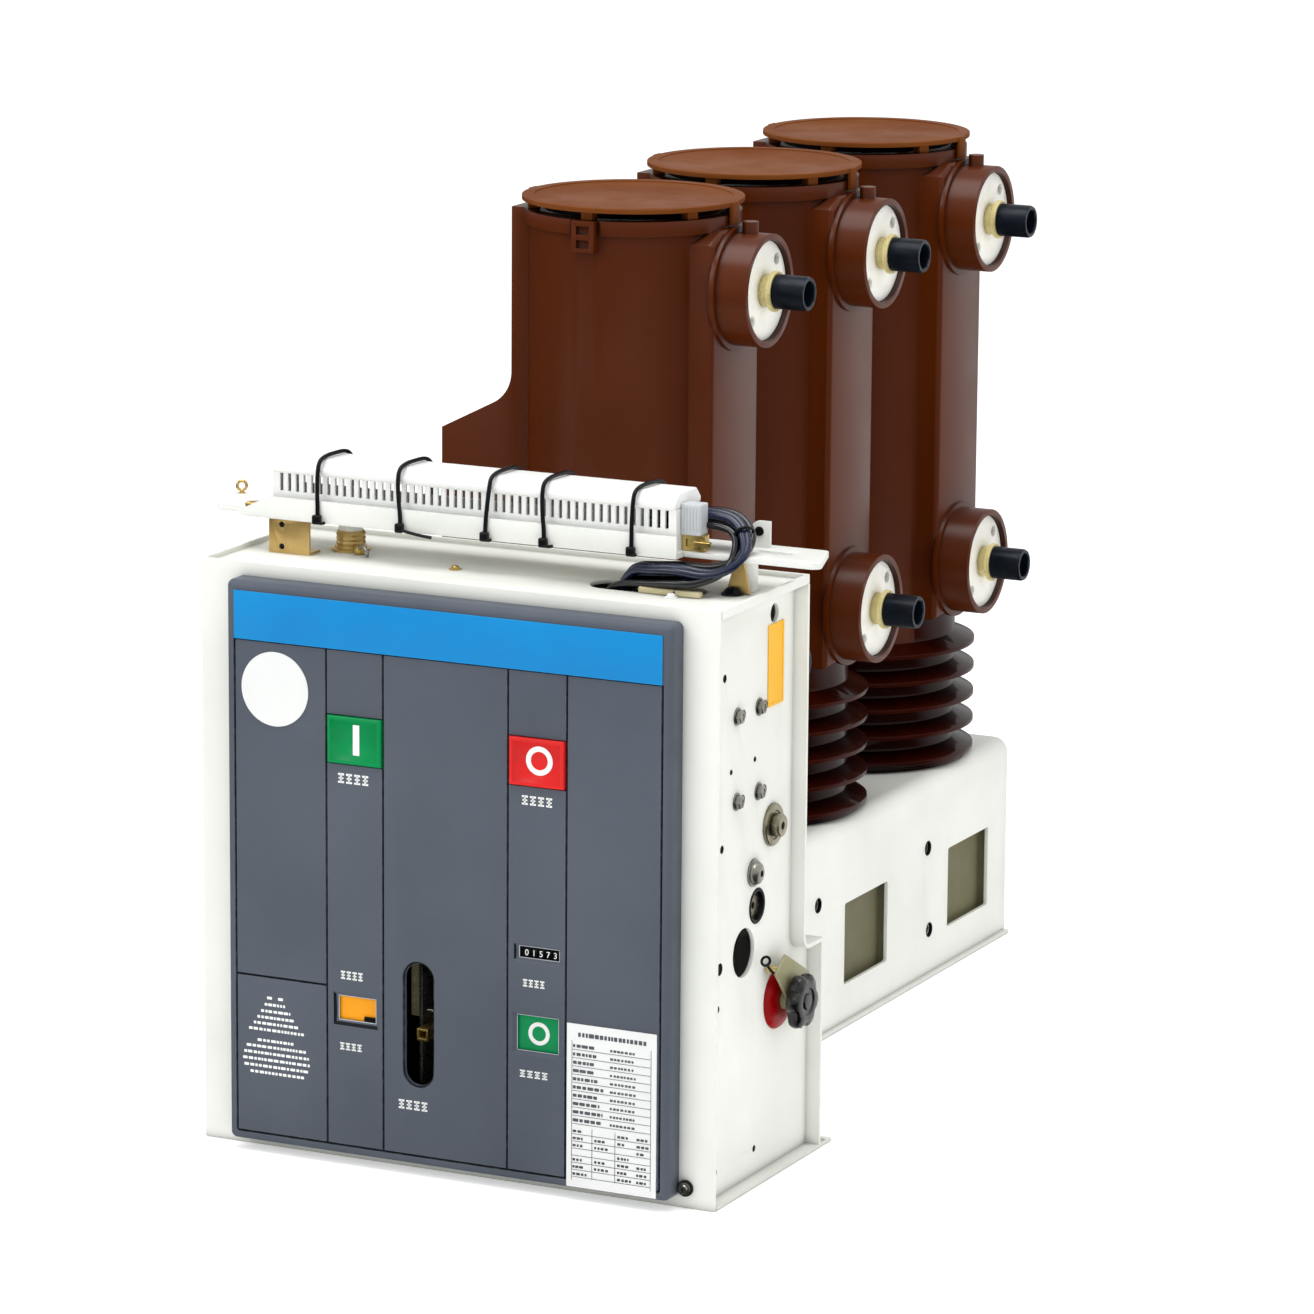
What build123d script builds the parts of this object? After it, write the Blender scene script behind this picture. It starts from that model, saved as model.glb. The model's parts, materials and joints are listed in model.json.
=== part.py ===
"""Indoor vacuum circuit breaker: a sheet-steel mechanism box in front, and behind it a row of three
moulded insulator poles on a folded base frame, each pole with two terminals on its right side.

Millimetres. The origin is on the floor, in the middle of the breaker's width and length.
X points right, Y points from the control panel to the rear, Z points up.
Places on the box are measured from its left edge, its front and the floor.
"""

from build123d import *
import math
import os

# Mechanism box
BOX_WIDTH = 410.0
BOX_HEIGHT = 430.0
BOX_DEPTH = 148.0
SHEET = 3.0                     # folded sheet steel of the box and of the base frame
SIDE_INSET = 11.0               # the side plates stand back from the edges of their own flanges
RIM_HEIGHT = 7.0                # upstand round the top tray
FOOT_STEP_HEIGHT = 158.0        # up to here the box reaches further back, to meet the base frame
FOOT_STEP_DEPTH = 31.0
LEDGE_RADIUS = 8.0              # bend between the rear wall and the ledge of the foot
TOE_LENGTH = 19.0               # the bottom flanges run on behind the foot
TOE_HOLE_RADIUS = 4.5
FRAME_BAND = 30.0               # width of the front frame round its opening

# Row of poles
POLE_PITCH = 210.0
POLE_COUNT = 3
POLE_FROM_LEFT = 196.0          # from the box's left edge to the poles' axes
FIRST_POLE_SETBACK = 297.5      # from the front of the box to the first pole
TERMINAL_SPACING = 275.0
TERMINAL_DROP = 54.0            # from the top of the tube to the upper terminal

# Base frame
BASE_HEIGHT = 164.0
BASE_HALF_WIDTH = 93.0
BASE_TAIL = 93.0                # from the last pole to the rear end of the base frame
BASE_BEND_RADIUS = 12.0
BASE_LIP = 4.0                  # bottom edge turned out
WINDOW_LENGTH = 82.0
WINDOW_HEIGHT = 65.0
WINDOW_SILL = 32.5
WINDOW_CORNER = 2.0
WINDOW_SETBACKS = [22.0, 14.0]  # window centres behind the axes of the second and third pole
SCREEN_DEPTH = 8.0              # shallow pans close the windows from inside
SCREEN_SHEET = 1.5
SCREEN_MARGIN = 6.0
FRAME_HOLE_RADIUS = 6.0
FRAME_HOLES = [(-69.5, 107.5), (141.8, 106.5), (146.7, 38.5)]  # from the second pole, and height

# Insulator
TUBE_RADIUS = 77.0
TUBE_TOP = 658.0
WELL_RADIUS = 66.0              # hollow under the cap
WELL_DEPTH = 30.0
COLLAR_RADIUS = 80.0
COLLAR_HEIGHT = 11.0
CAP_RADIUS = 82.0
CAP_THICKNESS = 3.5
CAP_DISH = 0.8                  # the middle of the cap lies lower than its rim
CAP_RIM = 9.0
CAP_GAP = 6.0                   # air gap between collar and cap
CAP_PAD_LENGTH = 9.0
CAP_PAD_COUNT = 6
CAP_PAD_TURN = 30.0             # angle of the first pad from the terminal side
CLIP_WIDTH = 11.0               # clips that hold the cap to the collar, left and right
CLIP_THICKNESS = 3.0
CLIP_CLEARANCE = 0.5
SHED_RADIUS = 93.0
SHED_COUNT = 5
SHED_PITCH = 21.7
TOP_SHED_Z = 258.0
SHED_TIP = 3.0
SHED_SLOPE_TOP = 8.0
SHED_SLOPE_UNDER = 4.0
FOOT_RADIUS = 87.0
FOOT_HEIGHT = 4.0
RIB_REACH = 84.0                # flat front of the terminal rib, from the pole's axis
RIB_HALF_WIDTH = 40.5
RIB_BOTTOM = 286.0
RIB_DROP = 9.0                  # from the top of the tube to the top of the rib
RIB_BEVEL_DROP = 9.0
RIB_BEVEL_WIDTH = 16.5
RIB_EDGE_RADIUS = 4.0
FIN_HALF_WIDTH = 30.0
FIN_REACH = 85.0
FIN_DROP = 1.5
FLARE_REACH = 143.0
FLARE_EDGE_DROP = 171.0         # from the top of the tube to the outer corner of the flare
FLARE_BEND_DROP = 125.0
FLARE_BOTTOM = 300.0
FLARE_RADIUS = 27.0
FLARE_TURN = 63.0
FLARE_POCKET_WALL = 7.0         # the flare is hollow on its outer side
FLARE_POCKET_DEPTH = 34.0
FLARE_POCKET_HEIGHT = 165.0
LATCH_WIDTH = 18.0
LATCH_HEIGHT = 23.0
LATCH_PROUD = 4.0
LATCH_GAP = 3.0
LATCH_WINDOW_WIDTH = 10.0
LATCH_WINDOW_HEIGHT = 6.0
LATCH_WINDOW_DROPS = [7.0, 17.0]
LATCH_WINDOW_DEPTH = 2.5

# Terminals
BOSS_RADIUS = 41.8
BOSS_REACH = 111.0
BOSS_FOOT_RADIUS = 46.0
BOSS_FOOT = 3.0
BOSS_LUG_RADIUS = 6.0
BOSS_LUG_X = 95.0
BOSS_LUG_DROP = 4.0             # from the top of the tube to the top of the lug on the upper boss
DISC_RADIUS = 36.8
DISC_THICKNESS = 6.0
DISC_RECESS = 4.0
DISC_CLEARANCE = 0.3
DISC_HOLE_RADIUS = 4.5
DISC_HOLE_CIRCLE = 29.5
DISC_HOLE_ANGLES = [45.0, 225.0]
STUB_RADIUS = 12.75
STUB_REACH = 143.0
STUB_BORE = 7.0
STUB_BORE_DEPTH = 22.0
STUB_SEAT = 14.0                # length of the stub inside the boss, behind the disc
STUB_SHANK_RADIUS = 11.5        # the stub is narrower where it goes through ring, disc and boss
RING_RADIUS = 17.5
RING_THICKNESS = 4.0
RING_CLEARANCE = 0.3

# Front cover
COVER_LEFT_MARGIN = 30.0
COVER_RIGHT_MARGIN = 28.0
COVER_BOTTOM = 8.0
COVER_TOP_MARGIN = 10.0
COVER_PROUD = 18.0
COVER_WALL = 4.0
COVER_EDGE_RADIUS = 5.0
COVER_BORDER = 7.0              # from the cover's edge to the groove that runs round it
GROOVE_WIDTH = 1.8
GROOVE_DEPTH = 1.2
GROOVE_XS = [111.0, 156.5, 255.5, 301.5]
CROSS_GROOVE_Z = 132.0
BUTTON_WIDTH = 43.0
BUTTON_HEIGHT = 34.5
BUTTON_CLEARANCE = 0.8
BUTTON_PROUD = 2.0
BUTTON_DEPTH = 16.0
BUTTON_Z = 313.0
BUTTON_EDGE_RADIUS = 1.5
CLOSE_BUTTON_X = 134.0
OPEN_BUTTON_X = 278.5
LEVER_SLOT_X = 184.7
LEVER_SLOT_WIDTH = 22.6
LEVER_SLOT_BOTTOM = 66.8
LEVER_SLOT_TOP = 156.7
LEVER_SLOT_EDGE = 1.5           # bevel round the slot
WINDOW_LIP = 3.0                # what shows behind a window reaches past its edges
RECESS_DEPTH = 2.5              # bevelled recess round each window
INDICATOR_THICKNESS = 3.0
COUNTER_THICKNESS = 8.0
LABEL_THICKNESS = 1.0
CHARGE_RECESS = (113.0, 154.6, 100.3, 129.8)      # left, right, bottom, top
CHARGE_WINDOW = (119.5, 149.5, 107.5, 125.4)
COUNTER_RECESS = (257.5, 299.5, 167.8, 182.4)
COUNTER_WINDOW = (263.8, 295.5, 171.0, 179.5)
POSITION_RECESS = (257.5, 299.5, 100.5, 132.4)
POSITION_WINDOW = (262.3, 295.0, 103.5, 129.5)
NAME_STRIP_HEIGHT = 35.0
RATING_PLATE_WIDTH = 70.0
RATING_PLATE_HEIGHT = 119.0
RATING_PLATE_MARGIN = 2.0       # from the border groove and from the groove on its left
BLANK_DISC_X = 70.0
BLANK_DISC_DROP = 76.0          # from the cover's top edge to the disc's centre
BLANK_DISC_RADIUS = 27.0
COVER_SCREW_GAP = 5.5           # from the cover's right edge to the screw's middle
COVER_SCREW_Z = 15.0
COVER_SCREW_RADIUS = 5.0
COVER_SCREW_HEAD = 6.0

# Charging lever behind its slot
LEVER_AXLE_DEPTH = 45.0         # from the front of the cover to the lever's axle
LEVER_Z = 103.0
LEVER_THICKNESS = 9.0
LEVER_SETBACK = 6.0             # from the front of the cover to the lever's end
LEVER_SOCKET = 5.0              # square socket in the lever's end
LEVER_SOCKET_DEPTH = 18.0
LEVER_HUB_WALL = 5.0
LEVER_SIDE_GAP = 5.0            # between the lever and the cheeks of its bracket
LEVER_AXLE_RADIUS = 4.0
AXLE_CLEARANCE = 0.1
BRACKET_TOP = 150.0
BRACKET_SHEET = 2.5
BRACKET_TAIL = 25.0

# Right side of the box: depth from the box's front, and height or drop from the box's top
SIDE_LABEL = (101.5, 127.5)
SIDE_LABEL_DROP = 29.5
SIDE_LABEL_HEIGHT = 60.0
LIFTING_HOLE = (112.8, 22.7)
LIFTING_HOLE_RADIUS = 7.0
SHAFT_PLACE = (112.0, 254.5)
SHAFT_RADIUS = 8.0
SHAFT_WASHER_RADIUS = 15.5
SHAFT_WASHER = 3.0
SHAFT_PROUD = 9.0
SIDE_BOLTS = [(52.5, 344.5), (88.5, 344.5), (52.5, 283.5), (88.5, 283.5)]
SIDE_BOLT_RADIUS = 5.2
SIDE_BOLT_HEAD = 4.0
DOME_BOLT = (81.5, 226.0)
DOME_RADIUS = 10.0
DOME_HEIGHT = 7.0
DOME_BEVEL = 3.5
ACCESS_HOLE = (67.0, 171.0)
ACCESS_HOLE_RADIUS = 17.8
CROSS_SHAFT = (88.4, 200.4)
CROSS_SHAFT_RADIUS = 8.5
CROSS_SHAFT_HOLE_RADIUS = 13.0
SMALL_HOLES = [(31.5, 375.5, 3.0), (29.5, 254.0, 3.0), (28.0, 168.0, 4.5), (25.5, 139.5, 2.5),
               (88.0, 22.0, 2.5), (24.0, 21.0, 2.5)]
INTERLOCK_PLACE = (123.0, 124.5)
INTERLOCK_DISC_RADIUS = 22.0
INTERLOCK_DISC_THICKNESS = 6.0
INTERLOCK_DISC_BEVEL = 3.0
INTERLOCK_HUB_RADIUS = 7.0
INTERLOCK_PLATE_REACH = 10.0    # from the side plate to the inner face of the bent plate
INTERLOCK_PLATE_SHEET = 2.0
INTERLOCK_PLATE_CORNERS = [(-27.0, 25.5), (-10.0, 36.0), (30.0, 14.5), (32.0, -14.0), (19.0, -26.0)]
INTERLOCK_KNOB_RADIUS = 20.5
INTERLOCK_KNOB_THICKNESS = 15.0
INTERLOCK_KNOB_LOBES = 5
INTERLOCK_KNOB_SCALLOP = 6.0

# Lifting bar across the top of the box, and what it carries: heights are above the tray's rim
BAR_LEFT = -41.0                # the ends stand out past the box and are cut at a slant
BAR_RIGHT = 455.0
BAR_SLANT = 16.0
BAR_FRONT = 66.0
BAR_REAR = 116.0
BAR_LIFT = 21.0
BAR_THICKNESS = 4.0
BAR_CORNER = 6.0
BAR_SLOT_LENGTH = 30.0
BAR_SLOT_WIDTH = 8.0
BAR_SLOT_INSET = 48.0           # from the bar's end to the slot's middle
SHELF_LEFT = 0.0                # the shelf in front of the bar, with its front edge turned up
SHELF_RIGHT = 350.0
SHELF_FRONT = 54.0
SHELF_LIP = 16.0
SHELF_LIP_SHEET = 2.0
SHELF_LIP_TAPER = 25.0
BAR_POST_XS = [72.0, 386.0]
BAR_POST_Y = 91.0
BAR_POST_RADIUS = 9.0
TAB_LEFT = 384.0
TAB_WIDTH = 15.0
TAB_HEIGHT = 19.0
TAB_Y = 104.0
TAB_SHEET = 2.0
TAB_CORNER = 7.0
DUCT_LEFT = 25.0
DUCT_RIGHT = 347.0
DUCT_FRONT = 60.0
DUCT_REAR = 98.0
DUCT_WALL = 2.0
DUCT_BODY = 30.0
DUCT_LID = 11.0
DUCT_LID_OVERHANG = 2.0
DUCT_LID_BEVEL = 7.0
DUCT_SLOT_PITCH = 6.4
DUCT_SLOT_WIDTH = 2.8
DUCT_SLOT_HEIGHT = 13.0
DUCT_SLOT_DROP = 1.0            # from the top of the wall to the top of the slots
DUCT_END_MARGIN = 6.0
DUCT_END_WIDTH = 18.0           # the end wall on the right covers only the front part
DUCT_DIVIDER_X = 315.0          # inner wall that the wires start from
TIE_XS = [66.0, 131.0, 204.0, 246.0, 317.0]
TIE_WIDTH = 4.0
TIE_THICKNESS = 1.3
TIE_HOOK = 8.0                  # the ties' ends hook under the shelf and the bar's rear edge
YELLOW_BRACKET_LEFT = 24.0
YELLOW_BRACKET_WIDTH = 33.0
YELLOW_BRACKET_SHEET = 2.0
YELLOW_BRACKET_FOOT = 16.0
YELLOW_BRACKET_HOLE_RADIUS = 2.2
YELLOW_BRACKET_HOLES = [(10.5, 4.0), (10.5, 20.0)]
PLUG_LENGTH = 18.0
PLUG_FRONT = 66.0
PLUG_WIDTH = 13.0
PLUG_HEIGHT = 34.0
PLUG_BASE_HEIGHT = 11.0
PLUG_STEP = 2.0
WIRE_HOLE_LEFT = 278.0
WIRE_HOLE_RIGHT = 366.0
WIRE_HOLE_Y = 68.0
WIRE_HOLE_WIDTH = 34.0
WIRE_RADIUS = 3.4
WIRE_GAP = 0.4
WIRE_ROUTE = [(318.0, 88.0, 43.5), (366.0, 88.0, 45.5), (391.0, 80.0, 46.0),   # heights above the box
              (400.0, 52.0, 27.0), (374.0, 50.0, 8.0), (336.0, 56.0, 6.0),
              (303.0, 66.0, 4.0), (296.0, 68.0, -28.0)]
RUN_SHARE = 0.45                # part of the shorter run that a bend of the wires may use

# Places worked out from the sizes above
BOX_LEFT = -(BAR_LEFT + BAR_RIGHT) / 2
BOX_RIGHT = BOX_LEFT + BOX_WIDTH
OVERALL_LENGTH = (COVER_PROUD + BUTTON_PROUD + FIRST_POLE_SETBACK
                  + (POLE_COUNT - 1) * POLE_PITCH + BASE_TAIL)
BOX_FRONT = -OVERALL_LENGTH / 2 + COVER_PROUD + BUTTON_PROUD
BOX_REAR = BOX_FRONT + BOX_DEPTH
FOOT_REAR = BOX_REAR + FOOT_STEP_DEPTH
POLE_X = BOX_LEFT + POLE_FROM_LEFT
POLE_YS = [BOX_FRONT + FIRST_POLE_SETBACK + i * POLE_PITCH for i in range(POLE_COUNT)]
BASE_REAR = POLE_YS[-1] + BASE_TAIL
UPPER_TERMINAL_Z = TUBE_TOP - TERMINAL_DROP
TERMINAL_ZS = [UPPER_TERMINAL_Z, UPPER_TERMINAL_Z - TERMINAL_SPACING]
TRAY_FLOOR = BOX_HEIGHT - RIM_HEIGHT
TRAY_TOP = TRAY_FLOOR + SHEET
SIDE_OUTER = BOX_RIGHT - SIDE_INSET
SIDE_INNER = SIDE_OUTER - SHEET
LEFT_SIDE_INNER = BOX_LEFT + SIDE_INSET + SHEET
COVER_FRONT = BOX_FRONT - COVER_PROUD
COVER_RIGHT = BOX_WIDTH - COVER_RIGHT_MARGIN
COVER_TOP = BOX_HEIGHT - COVER_TOP_MARGIN
BORDER = (COVER_LEFT_MARGIN + COVER_BORDER, COVER_RIGHT - COVER_BORDER,
          COVER_BOTTOM + COVER_BORDER, COVER_TOP - COVER_BORDER)
STRIP_BOTTOM = BORDER[3] - NAME_STRIP_HEIGHT
LEVER_AXLE_Y = COVER_FRONT + LEVER_AXLE_DEPTH
BAR_Z = BOX_HEIGHT + BAR_LIFT
BAR_TOP = BAR_Z + BAR_THICKNESS
DUCT_TOP = BAR_TOP + DUCT_BODY
LID_TOP = DUCT_TOP + DUCT_LID
CUT = 1.0                       # a cutting shape reaches this far past what it cuts


def block(x0, x1, y0, y1, z0, z1):
    """A box between two corners."""
    return Pos((x0 + x1) / 2, (y0 + y1) / 2, (z0 + z1) / 2) * Box(x1 - x0, y1 - y0, z1 - z0)


def rod_x(radius, x0, x1, y, z):
    """A round bar along X."""
    return Pos((x0 + x1) / 2, y, z) * Rot(0, 90, 0) * Cylinder(radius, x1 - x0)


def rod_y(radius, y0, y1, x, z):
    """A round bar along Y."""
    return Pos(x, (y0 + y1) / 2, z) * Rot(90, 0, 0) * Cylinder(radius, y1 - y0)


def rod_z(radius, z0, z1, x, y):
    """A round bar along Z."""
    return Pos(x, y, (z0 + z1) / 2) * Cylinder(radius, z1 - z0)


def slab_x(face, x0, x1):
    """A prism along X from a flat outline drawn in Y and Z."""
    return Pos(x0, 0, 0) * extrude(face, amount=x1 - x0, dir=(1, 0, 0))


def outline_yz(points):
    """A flat outline in Y and Z, at X = 0."""
    return make_face(Polyline(*[(0, y, z) for y, z in points], close=True).edges())


def outline_xz(points):
    """A flat outline in X and Z, at Y = 0."""
    return make_face(Polyline(*[(x, 0, z) for x, z in points], close=True).edges())


def panel_box(place, y0, y1, margin=0.0):
    """A block behind or on the cover; place is left, right, bottom and top from the box's corner."""
    left, right, bottom, top = place
    return block(BOX_LEFT + left - margin, BOX_LEFT + right + margin, y0, y1,
                 bottom - margin, top + margin)


# Mechanism box

def front_frame():
    """The flat frame that the plastic cover is fixed to."""
    plate = block(BOX_LEFT, BOX_RIGHT, BOX_FRONT, BOX_FRONT + SHEET, 0, BOX_HEIGHT)
    opening = (COVER_LEFT_MARGIN + FRAME_BAND / 2, COVER_RIGHT - FRAME_BAND / 2,
               COVER_BOTTOM + FRAME_BAND / 2, COVER_TOP - FRAME_BAND / 2)
    return plate - panel_box(opening, BOX_FRONT - CUT, BOX_FRONT + SHEET + CUT)


def box_outline():
    """The side view of the box, with the ledge where its foot reaches further back."""
    front = BOX_FRONT + SHEET
    face = outline_yz([(front, 0), (FOOT_REAR, 0), (FOOT_REAR, FOOT_STEP_HEIGHT),
                       (BOX_REAR, FOOT_STEP_HEIGHT), (BOX_REAR, TRAY_FLOOR), (front, TRAY_FLOOR)])
    corner = [v for v in face.vertices()
              if abs(v.Y - BOX_REAR) < SHEET and abs(v.Z - FOOT_STEP_HEIGHT) < SHEET]
    return fillet(corner, LEDGE_RADIUS)


def box_skin(x0, x1):
    """The bottom and the stepped rear of the box as one folded sheet between two places in X."""
    outer = slab_x(box_outline(), x0, x1)
    inner = slab_x(offset(box_outline(), amount=-SHEET), x0 - CUT, x1 + CUT)
    front = block(x0 - CUT, x1 + CUT, BOX_FRONT, BOX_FRONT + 2 * SHEET, SHEET, BOX_HEIGHT)
    top = block(x0 - CUT, x1 + CUT, BOX_FRONT, BOX_REAR - SHEET, TRAY_FLOOR - SHEET - CUT, BOX_HEIGHT)
    return outer - inner - front - top


def side_plate(side):
    """A side of the box with its bottom and rear flanges turned outwards; side is -1 or 1."""
    edge = BOX_WIDTH / 2
    outer = edge - SIDE_INSET
    plate = slab_x(box_outline(), outer - SHEET, outer) + box_skin(outer - SHEET, edge)
    toe = block(outer - SHEET, edge, FOOT_REAR - SHEET, FOOT_REAR + TOE_LENGTH, 0, SHEET)
    toe -= rod_z(TOE_HOLE_RADIUS, -CUT, SHEET + CUT, edge - SIDE_INSET / 2, FOOT_REAR + TOE_LENGTH / 2)
    plate += toe
    middle = BOX_LEFT + edge
    if side < 0:
        return Pos(middle, 0, 0) * mirror(plate, about=Plane.YZ)
    plate = Pos(middle, 0, 0) * plate
    holes = [(*ACCESS_HOLE, ACCESS_HOLE_RADIUS), (*CROSS_SHAFT, CROSS_SHAFT_HOLE_RADIUS),
             (LIFTING_HOLE[0], BOX_HEIGHT - LIFTING_HOLE[1], LIFTING_HOLE_RADIUS), *SMALL_HOLES]
    for depth, z, radius in holes:
        if z + radius < TRAY_FLOOR:
            plate -= rod_x(radius, SIDE_INNER - CUT, SIDE_OUTER + CUT, BOX_FRONT + depth, z)
    return plate


def rounded_slot(length, width, z0, z1, x, y):
    """A slot along X with round ends, as a solid to cut with."""
    half = (length - width) / 2
    slot = block(x - half, x + half, y - width / 2, y + width / 2, z0, z1)
    return slot + rod_z(width / 2, z0, z1, x - half, y) + rod_z(width / 2, z0, z1, x + half, y)


def top_tray():
    """The top plate with a low upstand all round and the long hole that the wires go down."""
    front = BOX_FRONT + SHEET
    tray = block(BOX_LEFT, BOX_RIGHT, front, BOX_REAR, TRAY_FLOOR, BOX_HEIGHT)
    tray -= block(BOX_LEFT + SHEET, BOX_RIGHT - SHEET, front - CUT, BOX_REAR - SHEET,
                  TRAY_TOP, BOX_HEIGHT + CUT)
    middle = BOX_LEFT + (WIRE_HOLE_LEFT + WIRE_HOLE_RIGHT) / 2
    return tray - rounded_slot(WIRE_HOLE_RIGHT - WIRE_HOLE_LEFT, WIRE_HOLE_WIDTH, TRAY_FLOOR - CUT,
                               TRAY_TOP + CUT, middle, BOX_FRONT + WIRE_HOLE_Y)


def back_plate():
    """The rear wall of the box, stepped back at the bottom to meet the base frame."""
    skin = box_skin(LEFT_SIDE_INNER, SIDE_INNER)
    return skin - block(LEFT_SIDE_INNER - CUT, SIDE_INNER + CUT, BOX_FRONT, FOOT_REAR + CUT, -CUT, SHEET)


def bottom_plate():
    """The floor of the box between its side plates."""
    return block(LEFT_SIDE_INNER, SIDE_INNER, BOX_FRONT + SHEET, FOOT_REAR, 0, SHEET)


# Base frame and poles

def base_frame():
    """A folded channel, open below and closed at its rear end, with windows in both sides."""
    x0, x1 = POLE_X - BASE_HALF_WIDTH, POLE_X + BASE_HALF_WIDTH
    outer = block(x0, x1, FOOT_REAR, BASE_REAR, 0, BASE_HEIGHT)
    outer = fillet(outer.edges().filter_by(Axis.Y).group_by(Axis.Z)[-1], BASE_BEND_RADIUS)
    inner = block(x0 + SHEET, x1 - SHEET, FOOT_REAR - CUT, BASE_REAR - SHEET, -CUT, BASE_HEIGHT - SHEET)
    inner_edges = inner.edges().filter_by(Axis.Y).group_by(Axis.Z)[-1]
    frame = outer - fillet(inner_edges, BASE_BEND_RADIUS - SHEET)
    frame += block(x0 - BASE_LIP, x0, FOOT_REAR, BASE_REAR, 0, SHEET)
    frame += block(x1, x1 + BASE_LIP, FOOT_REAR, BASE_REAR, 0, SHEET)
    for pole_y, setback in zip(POLE_YS[1:], WINDOW_SETBACKS):
        y = pole_y + setback
        window = block(x0 - CUT, x1 + CUT, y - WINDOW_LENGTH / 2, y + WINDOW_LENGTH / 2,
                       WINDOW_SILL, WINDOW_SILL + WINDOW_HEIGHT)
        frame -= fillet(window.edges().filter_by(Axis.X), WINDOW_CORNER)
    for setback, z in FRAME_HOLES:
        frame -= rod_x(FRAME_HOLE_RADIUS, x1 - SHEET - CUT, x1 + CUT, POLE_YS[1] + setback, z)
    return frame


def base_screens():
    """The shallow pans behind the windows of the base frame, fixed to its walls."""
    pans = []
    for side in (-1, 1):
        wall = side * (BASE_HALF_WIDTH - SHEET)
        floor = wall - side * SCREEN_DEPTH
        for pole_y, setback in zip(POLE_YS[1:], WINDOW_SETBACKS):
            y, half = pole_y + setback, WINDOW_LENGTH / 2 + SCREEN_MARGIN
            low, high = WINDOW_SILL - SCREEN_MARGIN, WINDOW_SILL + WINDOW_HEIGHT + SCREEN_MARGIN
            pan = block(*sorted((wall, floor)), y - half, y + half, low, high)
            hollow = sorted((wall + side * CUT, floor + side * SCREEN_SHEET))
            pan -= block(*hollow, y - half + SCREEN_SHEET, y + half - SCREEN_SHEET,
                         low + SCREEN_SHEET, high - SCREEN_SHEET)
            pans.append(Pos(POLE_X, 0, 0) * pan)
    return Compound(children=pans)


def insulator_profile():
    """Half section of the pole's tube and sheds, to be turned about the pole's axis."""
    bottom = BASE_HEIGHT
    points = [(0, bottom), (FOOT_RADIUS, bottom), (FOOT_RADIUS, bottom + FOOT_HEIGHT),
              (TUBE_RADIUS, bottom + FOOT_HEIGHT)]
    for i in reversed(range(SHED_COUNT)):
        tip = TOP_SHED_Z - i * SHED_PITCH
        under = tip - SHED_SLOPE_UNDER
        if under > bottom + FOOT_HEIGHT:
            points.append((TUBE_RADIUS, under))
        points += [(SHED_RADIUS, tip - SHED_TIP / 2), (SHED_RADIUS, tip + SHED_TIP / 2),
                   (TUBE_RADIUS, tip + SHED_SLOPE_TOP)]
    points += [(TUBE_RADIUS, TUBE_TOP - COLLAR_HEIGHT), (COLLAR_RADIUS, TUBE_TOP - COLLAR_HEIGHT),
               (COLLAR_RADIUS, TUBE_TOP), (0, TUBE_TOP)]
    return points


def fin():
    """The web on the left of a pole, narrow above, flared out and hollow below."""
    top, corner = TUBE_TOP - FIN_DROP, TUBE_TOP - FLARE_EDGE_DROP
    start = (-FIN_REACH, 0, TUBE_TOP - FLARE_BEND_DROP)
    turn = math.radians(FLARE_TURN)
    middle = math.radians(FLARE_TURN / 2)
    centre_x = -FIN_REACH - FLARE_RADIUS
    on_arc = [(centre_x + FLARE_RADIUS * math.cos(a), 0, start[2] - FLARE_RADIUS * math.sin(a))
              for a in (middle, turn)]
    edges = [Line((0, 0, top), (-FIN_REACH, 0, top)), Line((-FIN_REACH, 0, top), start),
             ThreePointArc(start, on_arc[0], on_arc[1]),
             Line(on_arc[1], (-FLARE_REACH, 0, corner)),
             Line((-FLARE_REACH, 0, corner), (-FLARE_REACH, 0, FLARE_BOTTOM)),
             Line((-FLARE_REACH, 0, FLARE_BOTTOM), (0, 0, FLARE_BOTTOM)),
             Line((0, 0, FLARE_BOTTOM), (0, 0, top))]
    web = Pos(0, -FIN_HALF_WIDTH, 0) * extrude(make_face(edges), amount=2 * FIN_HALF_WIDTH, dir=(0, 1, 0))
    inside = FIN_HALF_WIDTH - FLARE_POCKET_WALL
    low = FLARE_BOTTOM + FLARE_POCKET_WALL
    return web - block(-FLARE_REACH - CUT, -FLARE_REACH + FLARE_POCKET_DEPTH, -inside, inside,
                       low, low + FLARE_POCKET_HEIGHT)


def rib():
    """The flat rib on the terminal side, its top corners bevelled and its outer edges rounded."""
    top = TUBE_TOP - RIB_DROP
    shoulder, crown = top - RIB_BEVEL_DROP, RIB_HALF_WIDTH - RIB_BEVEL_WIDTH
    face = outline_yz([(-RIB_HALF_WIDTH, RIB_BOTTOM), (RIB_HALF_WIDTH, RIB_BOTTOM),
                       (RIB_HALF_WIDTH, shoulder), (crown, top), (-crown, top),
                       (-RIB_HALF_WIDTH, shoulder)])
    body = slab_x(face, 0, RIB_REACH)
    return fillet(body.faces().sort_by(Axis.X)[-1].edges(), RIB_EDGE_RADIUS)


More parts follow.
